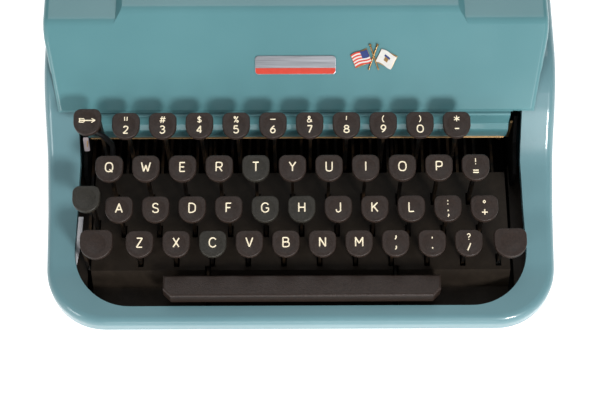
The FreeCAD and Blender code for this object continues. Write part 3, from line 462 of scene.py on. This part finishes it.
STROKES = {
    "A": ["0,0 .36,1", ".36,1 .72,0", ".12,.34 .6,.34"],
    "B": ["0,0 0,1", "~0,1 .38,1 .56,.9 .56,.64 .38,.54 0,.54",
          "~0,.54 .42,.54 .64,.42 .64,.12 .42,0 0,0"],
    "C": ["~.7,.8 .52,.98 .24,.98 .02,.74 .02,.26 .24,.02 .52,.02 .7,.2"],
    "D": ["0,0 0,1", "~0,1 .34,1 .62,.84 .68,.5 .62,.16 .34,0 0,0"],
    "E": ["0,0 0,1", "0,1 .54,1", "0,.52 .46,.52", "0,0 .56,0"],
    "F": ["0,0 0,1", "0,1 .54,1", "0,.52 .46,.52"],
    "G": ["~.72,.8 .54,.98 .24,.98 .02,.74 .02,.26 .24,.02 .54,.02 .72,.2 .74,.44", ".74,.46 .44,.46"],
    "H": ["0,0 0,1", ".64,0 .64,1", "0,.52 .64,.52"],
    "I": ["0,0 0,1"],
    "J": [".46,1 .46,.3", "~.46,.34 .44,.1 .24,-.02 .06,.06 0,.26"],
    "K": ["0,0 0,1", ".6,1 0,.42", ".2,.6 .64,0"],
    "L": ["0,1 0,0", "0,0 .52,0"],
    "M": ["0,0 0,1", "0,1 .38,.36", ".38,.36 .76,1", ".76,1 .76,0"],
    "N": ["0,0 0,1", "0,1 .62,0", ".62,0 .62,1"],
    "O": ["~.37,1 .6,.94 .74,.7 .74,.3 .6,.06 .37,0 .14,.06 0,.3 0,.7 .14,.94 .37,1"],
    "P": ["0,0 0,1", "~0,1 .4,1 .6,.9 .6,.58 .4,.46 0,.46"],
    "Q": ["~.37,1 .6,.94 .74,.7 .74,.3 .6,.06 .37,0 .14,.06 0,.3 0,.7 .14,.94 .37,1", ".42,.26 .76,-.06"],
    "R": ["0,0 0,1", "~0,1 .4,1 .6,.9 .6,.6 .4,.48 0,.48", ".3,.48 .64,0"],
    "S": ["~.58,.84 .44,.98 .18,.98 .04,.84 .08,.62 .3,.52 .54,.42 .62,.2 .48,.02 .18,.02 .02,.18"],
    "T": ["0,1 .64,1", ".32,1 .32,0"],
    "U": ["0,1 0,.36", ".64,1 .64,.36", "~0,.38 .04,.1 .2,0 .32,-.01 .44,0 .6,.1 .64,.38"],
    "V": ["0,1 .35,0", ".35,0 .7,1"],
    "W": ["0,1 .24,0", ".24,0 .46,.72", ".46,.72 .68,0", ".68,0 .92,1"],
    "X": ["0,0 .62,1", "0,1 .62,0"],
    "Y": ["0,1 .33,.5", ".66,1 .33,.5", ".33,.5 .33,0"],
    "Z": [".02,1 .6,1", ".6,1 0,0", "0,0 .62,0"],
    "2": ["~.04,.8 .16,.98 .44,.98 .58,.8 .5,.54 .26,.26 0,0", "0,0 .6,0"],
    "3": ["~.04,.86 .2,1 .44,.98 .56,.8 .46,.58 .24,.54",
          "~.24,.54 .5,.5 .62,.28 .5,.04 .22,-.02 .02,.14"],
    "4": [".46,0 .46,1", ".46,1 0,.28", "0,.28 .62,.28"],
    "5": [".54,1 .1,1", ".1,1 .04,.54", "~.04,.54 .24,.64 .5,.58 .62,.32 .52,.06 .24,-.02 .02,.12"],
    "6": ["~.5,.98 .22,.74 .04,.42 .06,.14 .26,-.02 .5,.06 .6,.3 .5,.54 .26,.58 .06,.4"],
    "7": ["0,1 .58,1", ".58,1 .2,0"],
    "8": ["~.3,.54 .08,.64 .06,.88 .3,1 .54,.88 .52,.64 .3,.54 .04,.42 0,.12 .3,-.02 .6,.12 .56,.42 .3,.54"],
    "9": ["~.1,.02 .38,.26 .56,.58 .54,.86 .34,1.02 .1,.94 0,.7 .1,.46 .34,.42 .54,.6"],
    "0": ["~.37,1 .6,.94 .74,.7 .74,.3 .6,.06 .37,0 .14,.06 0,.3 0,.7 .14,.94 .37,1"],
    '"': ["0,1 .03,.34", ".44,1 .41,.34"],
    "#": [".2,-.05 .4,1.05", ".58,-.05 .78,1.05", "0,.3 .9,.3", ".08,.7 .98,.7"],
    "$": ["~.58,.8 .42,.92 .18,.9 .06,.74 .14,.58 .34,.5 .54,.42 .62,.24 .46,.08 .18,.08 .02,.22",
          ".32,-.08 .32,1.1"],
    "%": [".1,0 .7,1", "~.18,1 .3,.86 .18,.66 .04,.86 .18,1", "~.62,.34 .76,.18 .62,0 .48,.18 .62,.34"],
    "_": ["0,.5 .9,.5"],
    "&": ["~.76,.02 .5,.34 .2,.68 .14,.88 .3,1 .46,.86 .38,.66 .12,.44 0,.22 .12,.02 .36,0 .58,.18 .7,.44"],
    "'": [".1,1 .04,.34"],
    "(": ["~.26,1.06 .06,.8 0,.5 .06,.2 .26,-.06"],
    ")": ["~0,1.06 .2,.8 .26,.5 .2,.2 0,-.06"],
    "*": [".45,0 .45,1", "0,.25 .9,.75", "0,.75 .9,.25"],
    "-": ["0,.5 .56,.5"],
    "!": ["0,1 0,.36", "0,.14 0,-.04"],
    "=": ["0,.66 .72,.66", "0,.34 .72,.34"],
    ":": ["0,.86 0,.64", "0,.30 0,.08"],
    ";": ["0,.84 0,.64", "~.02,.24 .05,.08 -.08,-.14"],
    "+": ["0,.5 .74,.5", ".37,.13 .37,.87"],
    "o": ["~.22,.8 .4,.58 .22,.36 .04,.58 .22,.8"],
    ",": ["~.1,.6 .14,.4 0,.12"],
    ".": ["0,.40 0,.20"],
    "/": ["0,0 .44,1"],
    "?": ["~0,.82 .1,.98 .34,1 .48,.82 .4,.6 .24,.48 .24,.32", ".24,.12 .24,-.04"],
    "arrow": ["0,.9 .25,.5", "0,.1 .25,.5", "0,.9 1,.9", "0,.1 1,.1", "1,.9 1.2,.5", "1,.1 1.2,.5",
              "0,.5 3.4,.5",
              "2.7,.95 3.5,.5", "2.7,.05 3.5,.5"],
}
LEGENDS = {
    "2": '2"', "3": "3#", "4": "4$", "5": "5%", "6": "6_", "7": "7&", "8": "8'", "9": "9(", "0": "0)",
    "hyphen": "-*", "equals": "=!", "semicolon": ";:", "plus": "+o", "comma": ",,", "period": "..",
    "slash": "/?",
}

# Engraved strokes are round rods that lie a little below the cap's face.
STROKE_RADIUS = 0.40 * MM
FINE_RADIUS = 0.30 * MM
SINK = 0.12 * MM
CURVE_STEPS = 5

# The shape of a key cap's top, as the solid has it.
CAP_TILT = math.radians(5.0)
CAP_HALF = 7.15 * MM
CAP_EDGE = 0.6 * MM
DISH_RADIUS = 26.0 * MM
DISH_DEPTH = 0.55 * MM

# Height of each kind of sign, and how far its middle lies behind the cap's.
LETTER = (4.9 * MM, 0.7 * MM)
LOWER_SIGN = (4.0 * MM, -2.3 * MM)
UPPER_SIGN = (3.1 * MM, 3.2 * MM)
LOWER_POINT = (4.2 * MM, -2.0 * MM)
UPPER_POINT = (4.2 * MM, 3.6 * MM)
ARROW = (2.4 * MM, 0.7 * MM)


def cap_frame(node):
    """The middle of a cap's top face, with Z out of it and Y towards its straight edge."""
    low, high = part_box(node)
    lift = (CAP_HALF - CAP_EDGE) * math.sin(CAP_TILT) - CAP_EDGE * (math.cos(CAP_TILT) - 1)
    middle = Vector(((low.x + high.x) / 2, low.y + CAP_HALF * math.cos(CAP_TILT), high.z - lift))
    return Matrix.Translation(middle) @ Matrix.Rotation(CAP_TILT, 4, "X")


def dish_floor(x, y):
    """Height of the dished face at a place on the cap."""
    edge = math.sqrt(DISH_RADIUS ** 2 - (DISH_RADIUS - DISH_DEPTH) ** 2)
    away = min(math.hypot(x, y), edge)
    return DISH_RADIUS - DISH_DEPTH - math.sqrt(DISH_RADIUS ** 2 - away ** 2)


def stroke_points(text):
    """A stroke's points, and whether it is a smooth one."""
    smooth = text.startswith("~")
    pairs = text.lstrip("~").split()
    return [tuple(float(number) for number in pair.split(",")) for pair in pairs], smooth


def blend(before, start, end, after, share):
    """A place between start and end on a Catmull-Rom curve through four values."""
    return 0.5 * (2 * start + (end - before) * share
                  + (2 * before - 5 * start + 4 * end - after) * share * share
                  + (3 * start - before - 3 * end + after) * share ** 3)


def through(points):
    """Points along a smooth curve that passes through the given ones."""
    ends = [points[0]] + points + [points[-1]]
    if points[0] == points[-1]:
        ends = [points[-2]] + points + [points[1]]
    curve = []
    for stretch in zip(ends, ends[1:], ends[2:], ends[3:]):
        for step in range(CURVE_STEPS):
            curve.append(tuple(blend(*values, step / CURVE_STEPS) for values in zip(*stretch)))
    return curve + [points[-1]]


def engraved(name, signs, place, body):
    """Signs as filled strokes in a cap's face. Each sign is (text, (height, middle), radius)."""
    curve = round_curve(name, STROKE_RADIUS, 2, LEGEND)
    for sign, (height, middle), radius in signs:
        strokes = [stroke_points(text) for text in STROKES[sign]]
        across = [x for points, _ in strokes for x, _ in points]
        centre = (min(across) + max(across)) / 2
        for points, smooth in strokes:
            path = through(points) if smooth else points
            spline = curve.splines.new("POLY")
            spline.points.add(len(path) - 1)
            for point, (x, y) in zip(spline.points, path):
                back = middle + (y - 0.5) * height
                over = (x - centre) * height
                point.co = (over, back, dish_floor(over, back) - SINK, 1.0)
                point.radius = radius / STROKE_RADIUS
    curve.transform(place)
    attach(add_object(name, curve), body)


def legends():
    """A letter on each letter key, and on the others one sign above another."""
    for node in sorted(NODES):
        if not node.startswith("key_"):
            continue
        name = node.removeprefix("key_")
        if name not in LEGENDS:
            signs = [(name.upper(), LETTER, STROKE_RADIUS)]
        elif name in ("comma", "period"):
            lower, upper = LEGENDS[name]
            signs = [(lower, LOWER_POINT, STROKE_RADIUS), (upper, UPPER_POINT, STROKE_RADIUS)]
        else:
            lower, upper = LEGENDS[name]
            signs = [(lower, LOWER_SIGN, STROKE_RADIUS), (upper, UPPER_SIGN, FINE_RADIUS)]
        engraved("legend_" + name, signs, cap_frame(node), "lever_" + name)
    engraved("legend_backspace", [("arrow", ARROW, FINE_RADIUS)], cap_frame("backspace_key"), "back")


# Name plate and pin on the cover ------------------------------------------------------------------------

COVER_LIP = Vector((0.0, -39.5, 73.0)) * MM
COVER_BEND = Vector((0.0, -1.3, 101.0)) * MM


def slope_frame(x, share):
    """A frame on the cover's slope, a share of the way up it: X across, Y up the slope, Z out of it."""
    up = (COVER_BEND - COVER_LIP).normalized()
    place = Matrix.Translation(COVER_LIP.lerp(COVER_BEND, share) + x * X_AXIS)
    return place @ Matrix((X_AXIS, up, X_AXIS.cross(up))).transposed().to_4x4()


def cover_plate(name, outline, low, high, material, edge, place):
    """A flat piece of enamel or metal on the cover."""
    outline_prism(name, outline, low * MM, high * MM, material, "cover", edge * MM, place)


def name_plate():
    """A blank enamel plate in a bright rim: silver above a fine line, red below it."""
    place = slope_frame(-2.4 * MM, 0.502)
    width, height = 42.4 * MM, 9.8 * MM
    rim = 0.25 * MM
    half_line = 0.12 * MM
    split = -0.14 * height
    reach = width / 2 - rim
    outer = rounded_rectangle(width, height, 1.8 * MM)
    cover_plate("name_plate", outer, 0.0, 0.55, PLATE_SILVER, 0.15, place)
    inner = rounded_rectangle(width - 2 * rim, height - 2 * rim, 1.4 * MM)
    for name, side, material in (("silver", 1, PLATE_SILVER), ("red", -1, PLATE_RED)):
        line = split + side * half_line
        half = [point for point in inner if side * point[1] > 0]
        half += [(-side * reach, line), (side * reach, line)]
        cover_plate("name_plate_" + name, half, 0.5, 0.66, material, 0.05, place)


FLAG_LENGTH = 9.0 * MM
FLAG_HEIGHT = 7.2 * MM
FLAG_TOP = 0.9 * MM
FLAG_BOTTOM = 0.45 * MM
FLAG_COLUMNS = 16
FLAG_WAVE = 0.05 * FLAG_LENGTH
FLAG_MATERIALS = (PIN_WHITE, PLATE_RED, PIN_BLUE, PIN_GOLD)
WHITE_CELL, RED_CELL, BLUE_CELL, GOLD_CELL = range(4)


def striped(share, row):
    """Colours of a flag of nine stripes with a blue field."""
    if share > 0.56 and row >= 4:
        return BLUE_CELL
    return RED_CELL if row % 2 == 0 else WHITE_CELL


def plain(share, row):
    """Colours of a white flag with a small gilt spot under a blue one."""
    from_middle = abs(share - 0.5)
    if from_middle < 0.10 and 2 <= row <= 3:
        return GOLD_CELL
    return BLUE_CELL if from_middle < 0.17 and row == 4 else WHITE_CELL


def flag(name, place, colours, rows):
    """A small enamel flag that waves along its length; colours(share, row) picks a cell's material."""
    work = bmesh.new()
    grid = []
    for row in range(rows + 1):
        line = []
        for column in range(FLAG_COLUMNS + 1):
            share = column / FLAG_COLUMNS
            wave = FLAG_WAVE * math.sin(share * 1.7 * math.pi)
            line.append(work.verts.new((FLAG_LENGTH * share, FLAG_HEIGHT * row / rows + wave, FLAG_TOP)))
        grid.append(line)
    for row in range(rows):
        for column in range(FLAG_COLUMNS):
            below, above = grid[row], grid[row + 1]
            corners = (below[column], below[column + 1], above[column + 1], above[column])
            work.faces.new(corners).material_index = colours((column + 0.5) / FLAG_COLUMNS, row)
    raise_faces(work, work.faces[:], FLAG_BOTTOM)
    mesh = mesh_from(work, name, place)
    for material in FLAG_MATERIALS:
        mesh.materials.append(material)
    finish_piece(name, mesh, PIN_WHITE, "cover", smooth=False)


def flag_pole(name, side, place):
    """One gilt pole with its knob, which leans to its own side."""
    top = Vector((side * 1.9, 7.4, 0.6)) * MM
    foot = Vector((-side * 2.6, -5.6, 0.6)) * MM
    tube(name + "_pole", [place @ foot, place @ top], 0.38 * MM, PIN_GOLD, "cover")
    outline = ((0.0, 0.0), (0.62, 0.35), (0.75, 0.8), (0.4, 1.3), (0.0, 1.6))
    knob = [(radius * MM, height * MM) for radius, height in outline]
    knob_place = place @ Matrix.Translation(top - Vector((0, 0, 0.4)) * MM)
    turned(name + "_finial", knob, knob_place, PIN_GOLD, "cover", 16)


def flag_pin():
    """A lapel pin of two small flags on crossed gilt poles: one striped, one plain."""
    place = slope_frame(38.6 * MM, 0.565)
    left, right = -0.02 * FLAG_LENGTH, 1.02 * FLAG_LENGTH
    bottom, top = -0.03 * FLAG_HEIGHT, 1.03 * FLAG_HEIGHT
    backing = [(left, bottom), (right, bottom), (right, top), (left, top)]
    flags = (("pin_flag_left", -1, striped, 9, 22.0), ("pin_flag_right", 1, plain, 7, -26.0))
    for name, side, colours, rows, tilt in flags:
        flag_pole(name, side, place)
        corner = place @ Matrix.Translation(Vector((side * 1.0, -1.2, 0.0)) * MM)
        corner = corner @ Matrix.Rotation(math.radians(tilt), 4, "Z")
        if side < 0:
            corner = corner @ Matrix.Translation(-FLAG_LENGTH * X_AXIS)
        flag(name, corner, colours, rows)
        cover_plate(name + "_back", backing, 0.0, 0.5, PIN_GOLD, 0.1, corner)


# Small trim that the frame's solids don't show ----------------------------------------------------------


def gap_shade_plates():
    """Black plates that fill the gaps beside the keyboard plate as painted shade, and the pale strip on the
    left one.
    """
    front, back = -128.0 * MM, -50.0 * MM
    bottom, top = 24.0 * MM, 25.0 * MM
    for side, name in SIDES:
        inner, outer = side * 114.2 * MM, side * 123.0 * MM
        shade_plate = [(inner, front), (outer, front), (outer, back), (inner, back)]
        # Painted shade: dark plates stand where the gaps beside the keyboard show only deep shade.
        outline_prism("gap_shade_plate_" + name, shade_plate, bottom, top, PLATE_LACQUER, "frame",
                      0.2 * MM)
    inner_edge = ((-118.2, -80.1), (-118.5, -90.2), (-119.3, -100.3), (-120.8, -110.6))
    outer_edge = ((-126.0, -110.6), (-126.0, -80.1))
    strip = [(x * MM, y * MM) for x, y in inner_edge + outer_edge]
    outline_prism("pale_strip", strip, top, top + 1.0 * MM, STRIP_WHITE, "frame", 0.2 * MM)


def apron_raw_edge():
    """The browned cut edge along the bottom of the apron."""
    low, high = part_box("front_apron")
    inset = 1.0 * MM
    front = low.y + 1.1 * MM
    bottom = low.z + 4.6 * MM
    path = [(low.x + inset, front, bottom), (high.x - inset, front, bottom)]
    tube("apron_raw_edge", path, 0.75 * MM, BRASS, "frame")


def apron_bracket():
    """The brown strip at the apron's right-hand end."""
    low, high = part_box("front_apron")
    foot = Vector((high.x + 0.9 * MM, low.y + 1.6 * MM, low.z + 4.0 * MM))
    corners = ((-0.8, 0.0), (0.8, 0.0), (0.9, 18.0), (-0.3, 18.0))
    strip = [(x * MM, y * MM) for x, y in corners]
    place = Matrix.Translation(foot) @ Matrix.Rotation(math.radians(90), 4, "X")
    outline_prism("apron_strip", strip, -0.6 * MM, 0.6 * MM, BRASS, "frame", 0.15 * MM, place)


def backspace_arm():
    """The black bent rod between the backspace cap and its lever."""
    low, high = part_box("backspace_key")
    start = Vector((high.x - 2.0 * MM, low.y + 4.0 * MM, high.z - 4.5 * MM))
    bends = ((-4.0, 0.0, 0.0), (0.0, -0.5, -1.5), (4.5, -1.0, -9.0), (6.5, -0.5, -20.0),
             (4.0, 0.0, -34.0))
    path = [start + Vector(bend) * MM for bend in bends]
    tube("backspace_arm", path, 1.5 * MM, ARM_BLACK, "back", smooth_path=True)


def ribbon_tab():
    """The small grey tab that hangs from a brown link beside the keys."""
    top = Vector((-113.4, -55.0, 57.0)) * MM
    outline = rounded_rectangle(8.6 * MM, 2.9 * MM, 0.7 * MM)
    link = [top + Vector(bend) * MM for bend in ((0.6, 3.0, 6.0), (0.2, 0.6, 2.0), (0.0, 0.0, 0.0))]
    tube("tab_link", link, 0.55 * MM, BRASS, "frame", smooth_path=True)
    turn = along((0.05, -0.85, 0.5), top) @ Matrix.Rotation(math.radians(90), 4, "Z")
    place = turn @ Matrix.Translation(4.2 * MM * X_AXIS)
    outline_prism("ribbon_tab", outline, 0.0, 0.9 * MM, TAB_GREY, "frame", 0.2 * MM, place)


SCREW_PROFILE = ((0.0, 0.62), (0.6, 0.60), (0.9, 0.48), (1.0, 0.30), (1.0, 0.0))


def screw(name, place, axis, radius, body):
    """A slotted cheese-head screw: a low domed head, and the slot as a dark bar let into it, painted shade
    in place of a cut slot.
    """
    seat = along(axis, place)
    head = [(across * radius, height * radius) for across, height in SCREW_PROFILE]
    turned(name, head, seat, GROUND_STEEL, body, 24)
    # Painted shade: the slot is not cut, and a dark bar on the head stands for the shade in it.
    bar = rounded_rectangle(1.5 * radius, 0.26 * radius, 0.08 * radius, 2)
    outline_prism(name + "_slot_shade", bar, 0.50 * radius, 0.64 * radius, ARM_BLACK, body,
                  place=seat)


def screws():
    """The screws in the carriage's cheeks and at the ends of its rail."""
    cheek = 128.0 * MM
    low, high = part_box("carriage_rail")
    end_inset, edge_inset = 6.0 * MM, 1.9 * MM
    seat = low.z + 2.0 * MM
    for side, name in SIDES:
        for index, (y, z) in enumerate(((86.0, 103.0), (60.0, 111.0), (72.0, 103.0))):
            place = (side * cheek, y * MM, z * MM)
            screw(f"cheek_screw_{name}_{index}", place, (side, 0, 0), 2.0 * MM, "carriage")
    for side, name in SIDES:
        for index, y in enumerate((low.y + edge_inset, high.y - edge_inset)):
            place = (side * (high.x - end_inset), y, seat)
            screw(f"rail_screw_{name}_{index}", place, (0, 0, 1), 1.5 * MM, "frame")


def platen_centre():
    """The middle of the platen."""
    low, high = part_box("platen")
    return (low + high) / 2


BAIL_REACH = 17.6 * MM
BAIL_LEAN = math.radians(128)
BAIL_HALF = 104.0 * MM
BAIL_ARM_X = 121.2 * MM
BAIL_ROLLER = ((1.15, -4.5), (2.2, -4.5), (2.7, -4.0), (2.7, 4.0), (2.2, 4.5), (1.15, 4.5))
BAIL_ARM = ((-1.0, -1.6), (-1.0, 1.6), (18.0, 2.6), (20.5, 0.0), (18.0, -2.6))


def paper_bail():
    """The bail that holds the paper on the platen: a rod on two arms, with rubber rollers."""
    out = Vector((0, math.cos(BAIL_LEAN), math.sin(BAIL_LEAN)))
    middle = platen_centre()
    rod = middle + BAIL_REACH * out
    tube("bail_rod", [rod - BAIL_HALF * X_AXIS, rod + BAIL_HALF * X_AXIS], 1.1 * MM, CHROME, "carriage")
    roller = [(radius * MM, width * MM) for radius, width in BAIL_ROLLER]
    for index, x in enumerate((-62.0, -3.0, 56.0)):
        place = along(X_AXIS, rod + Vector((x, -1.3, 1.6)) * MM)
        turned(f"bail_roller_{index}", roller, place, PLATEN_RUBBER, "carriage", 24)
    turn = Matrix((out, X_AXIS.cross(out), X_AXIS)).transposed().to_4x4()
    arm = [(length * MM, width * MM) for length, width in BAIL_ARM]
    for side, name in SIDES:
        place = Matrix.Translation(middle + side * BAIL_ARM_X * X_AXIS) @ turn
        outline_prism("bail_arm_" + name, arm, -0.5 * MM, 0.5 * MM, CHROME, "carriage",
                      0.2 * MM, place)
        pin = [rod + side * BAIL_HALF * X_AXIS, rod + side * BAIL_ARM_X * X_AXIS]
        tube("bail_pin_" + name, pin, 0.9 * MM, CHROME, "carriage")


RIBBON_GUIDE = ((103.5, 2.0, 59.6), (78.0, 15.0, 59.6), (52.0, 18.6, 72.0), (46.0, 18.6, 79.0),
                (46.0, 18.6, 93.0))
RIBBON_HALF_HEIGHT = 4.6 * MM
RIBBON_THICKNESS = 0.12 * MM


def ribbon():
    """The inked ribbon, from the back of one spool over two wire guides to the back of the other."""
    low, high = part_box("spool_left")
    spool = Vector(((low.x + high.x) / 2, 15.4 * MM, (low.z + high.z) / 2))
    guide = Vector((-46.0, 20.0, 86.8)) * MM
    half = [spool.lerp(guide, share) for share in (0.0, 0.33, 0.66, 1.0)]
    mirrored = [Vector((-place.x, place.y, place.z)) for place in reversed(half)]
    rise = Vector((0, 0, RIBBON_HALF_HEIGHT))
    work = bmesh.new()
    edges = [(work.verts.new(place - rise), work.verts.new(place + rise)) for place in half + mirrored]
    for (low_start, high_start), (low_end, high_end) in zip(edges, edges[1:]):
        work.faces.new((low_start, low_end, high_end, high_start))
    strip = finish_piece("ribbon", mesh_from(work, "ribbon"), RIBBON, "frame")
    cloth = strip.modifiers.new("Cloth", "SOLIDIFY")
    cloth.thickness = RIBBON_THICKNESS
    for side, name in SIDES:
        path = [Vector((side * x, y, z)) * MM for x, y, z in RIBBON_GUIDE]
        tube("ribbon_guide_" + name, path, 0.9 * MM, BLUED_STEEL, "frame",
             smooth_path=True)


def ratchet():
    """The line-spacing ratchet at the platen's left end."""
    teeth = 36
    tooth_shape = ((12.6 * MM, 0.0), (14.2 * MM, 0.55), (14.0 * MM, 0.75))
    outline = []
    for tooth in range(teeth):
        for radius, share in tooth_shape:
            angle = 2 * math.pi * (tooth + share) / teeth
            outline.append((radius * math.cos(angle), radius * math.sin(angle)))
    place = along(X_AXIS, platen_centre() - 122.6 * MM * X_AXIS)
    outline_prism("platen_ratchet", outline, -0.8 * MM, 0.8 * MM, GROUND_STEEL, "roller",
                  place=place)


# Studio -------------------------------------------------------------------------------------------------

CAMERA_PLACE = (-0.0017, -0.4172, 0.8032)
CAMERA_TARGET = (-0.0003, -0.0914, 0.0725)
CAMERA_LENS = 93.29
LIGHT_TARGET = (0.0, -0.03, 0.05)
# Name, place, size in metres and power in watts of each light.
LIGHTS = (
    ("left_light", (-0.815, -0.733, 0.488), 0.30, 2.7),
    ("right_light", (0.488, -0.917, 0.600), 0.22, 10.0),
    ("top_light", (0.0, 0.55, 1.15), 0.7, 3.4),
    ("front_light", (0.0, -1.3, 0.10), 0.5, 2.2),
)
WORLD_STRENGTH = 0.37
FLOOR_GLOW = 0.75
FLOOR_GREY = (0.86, 0.86, 0.86, 1.0)
FLOOR_HALF = 2.5
FLOOR_FLAT_RADIUS = 1.2
FLOOR_DISH = 0.25
FLOOR_GAP = 0.2 * MM
FLOOR_CELLS = 24


def aim(thing, place, target):
    """Puts a light or camera at a place and points it at a target."""
    place = Vector(place)
    thing.location = place
    thing.rotation_euler = (Vector(target) - place).to_track_quat("-Z", "Y").to_euler()


def soft_light(name, place, size, watts):
    """A square soft light."""
    lamp = bpy.data.lights.new(name, "AREA")
    lamp.shape = "SQUARE"
    lamp.size = size
    lamp.energy = watts
    aim(add_object(name, lamp), place, LIGHT_TARGET)


def lit_white():
    """Matt white that is lit from behind, like a light table."""
    material, shader = new_material("floor_white", 0.8)
    shader.inputs["Base Color"].default_value = FLOOR_GREY
    shader.inputs["Emission Color"].default_value = (1.0, 1.0, 1.0, 1.0)
    shader.inputs["Emission Strength"].default_value = FLOOR_GLOW
    return material


def pale_floor():
    """A wide floor that is flat under the machine and gently dished further out."""
    work = bmesh.new()
    bmesh.ops.create_grid(work, x_segments=FLOOR_CELLS, y_segments=FLOOR_CELLS, size=FLOOR_HALF)
    for vertex in work.verts:
        away = max(0.0, math.hypot(vertex.co.x, vertex.co.y) - FLOOR_FLAT_RADIUS)
        vertex.co.z = CAD_BOX[0][2] - FLOOR_GAP + FLOOR_DISH * away ** 2
    mesh = mesh_from(work, "floor")
    for polygon in mesh.polygons:
        polygon.use_smooth = True
    mesh.materials.append(lit_white())
    floor = add_object("floor", mesh)


def surround():
    """A near-white world."""
    world = bpy.data.worlds.new("Surround")
    bpy.context.scene.world = world
    world.use_nodes = True
    background = world.node_tree.nodes["Background"]
    background.inputs["Color"].default_value = (0.95, 0.97, 1.0, 1.0)
    background.inputs["Strength"].default_value = WORLD_STRENGTH


def camera():
    """A steep view of the keyboard from above the front."""
    lens = bpy.data.cameras.new("Camera")
    lens.lens = CAMERA_LENS
    lens.sensor_width = 36.0
    holder = add_object("Camera", lens)
    aim(holder, CAMERA_PLACE, CAMERA_TARGET)
    bpy.context.scene.camera = holder


def studio():
    """Floor, surroundings, lights and camera."""
    pale_floor()
    surround()
    for name, place, size, watts in LIGHTS:
        soft_light(name, place, size, watts)
    camera()
    bpy.context.scene.view_settings.view_transform = "Standard"


# Making everything --------------------------------------------------------------------------------------

paint_frame()
paint_keys()
legends()
name_plate()
flag_pin()
gap_shade_plates()
apron_raw_edge()
backspace_arm()
ribbon_tab()
apron_bracket()
screws()
paper_bail()
ribbon()
ratchet()
studio()
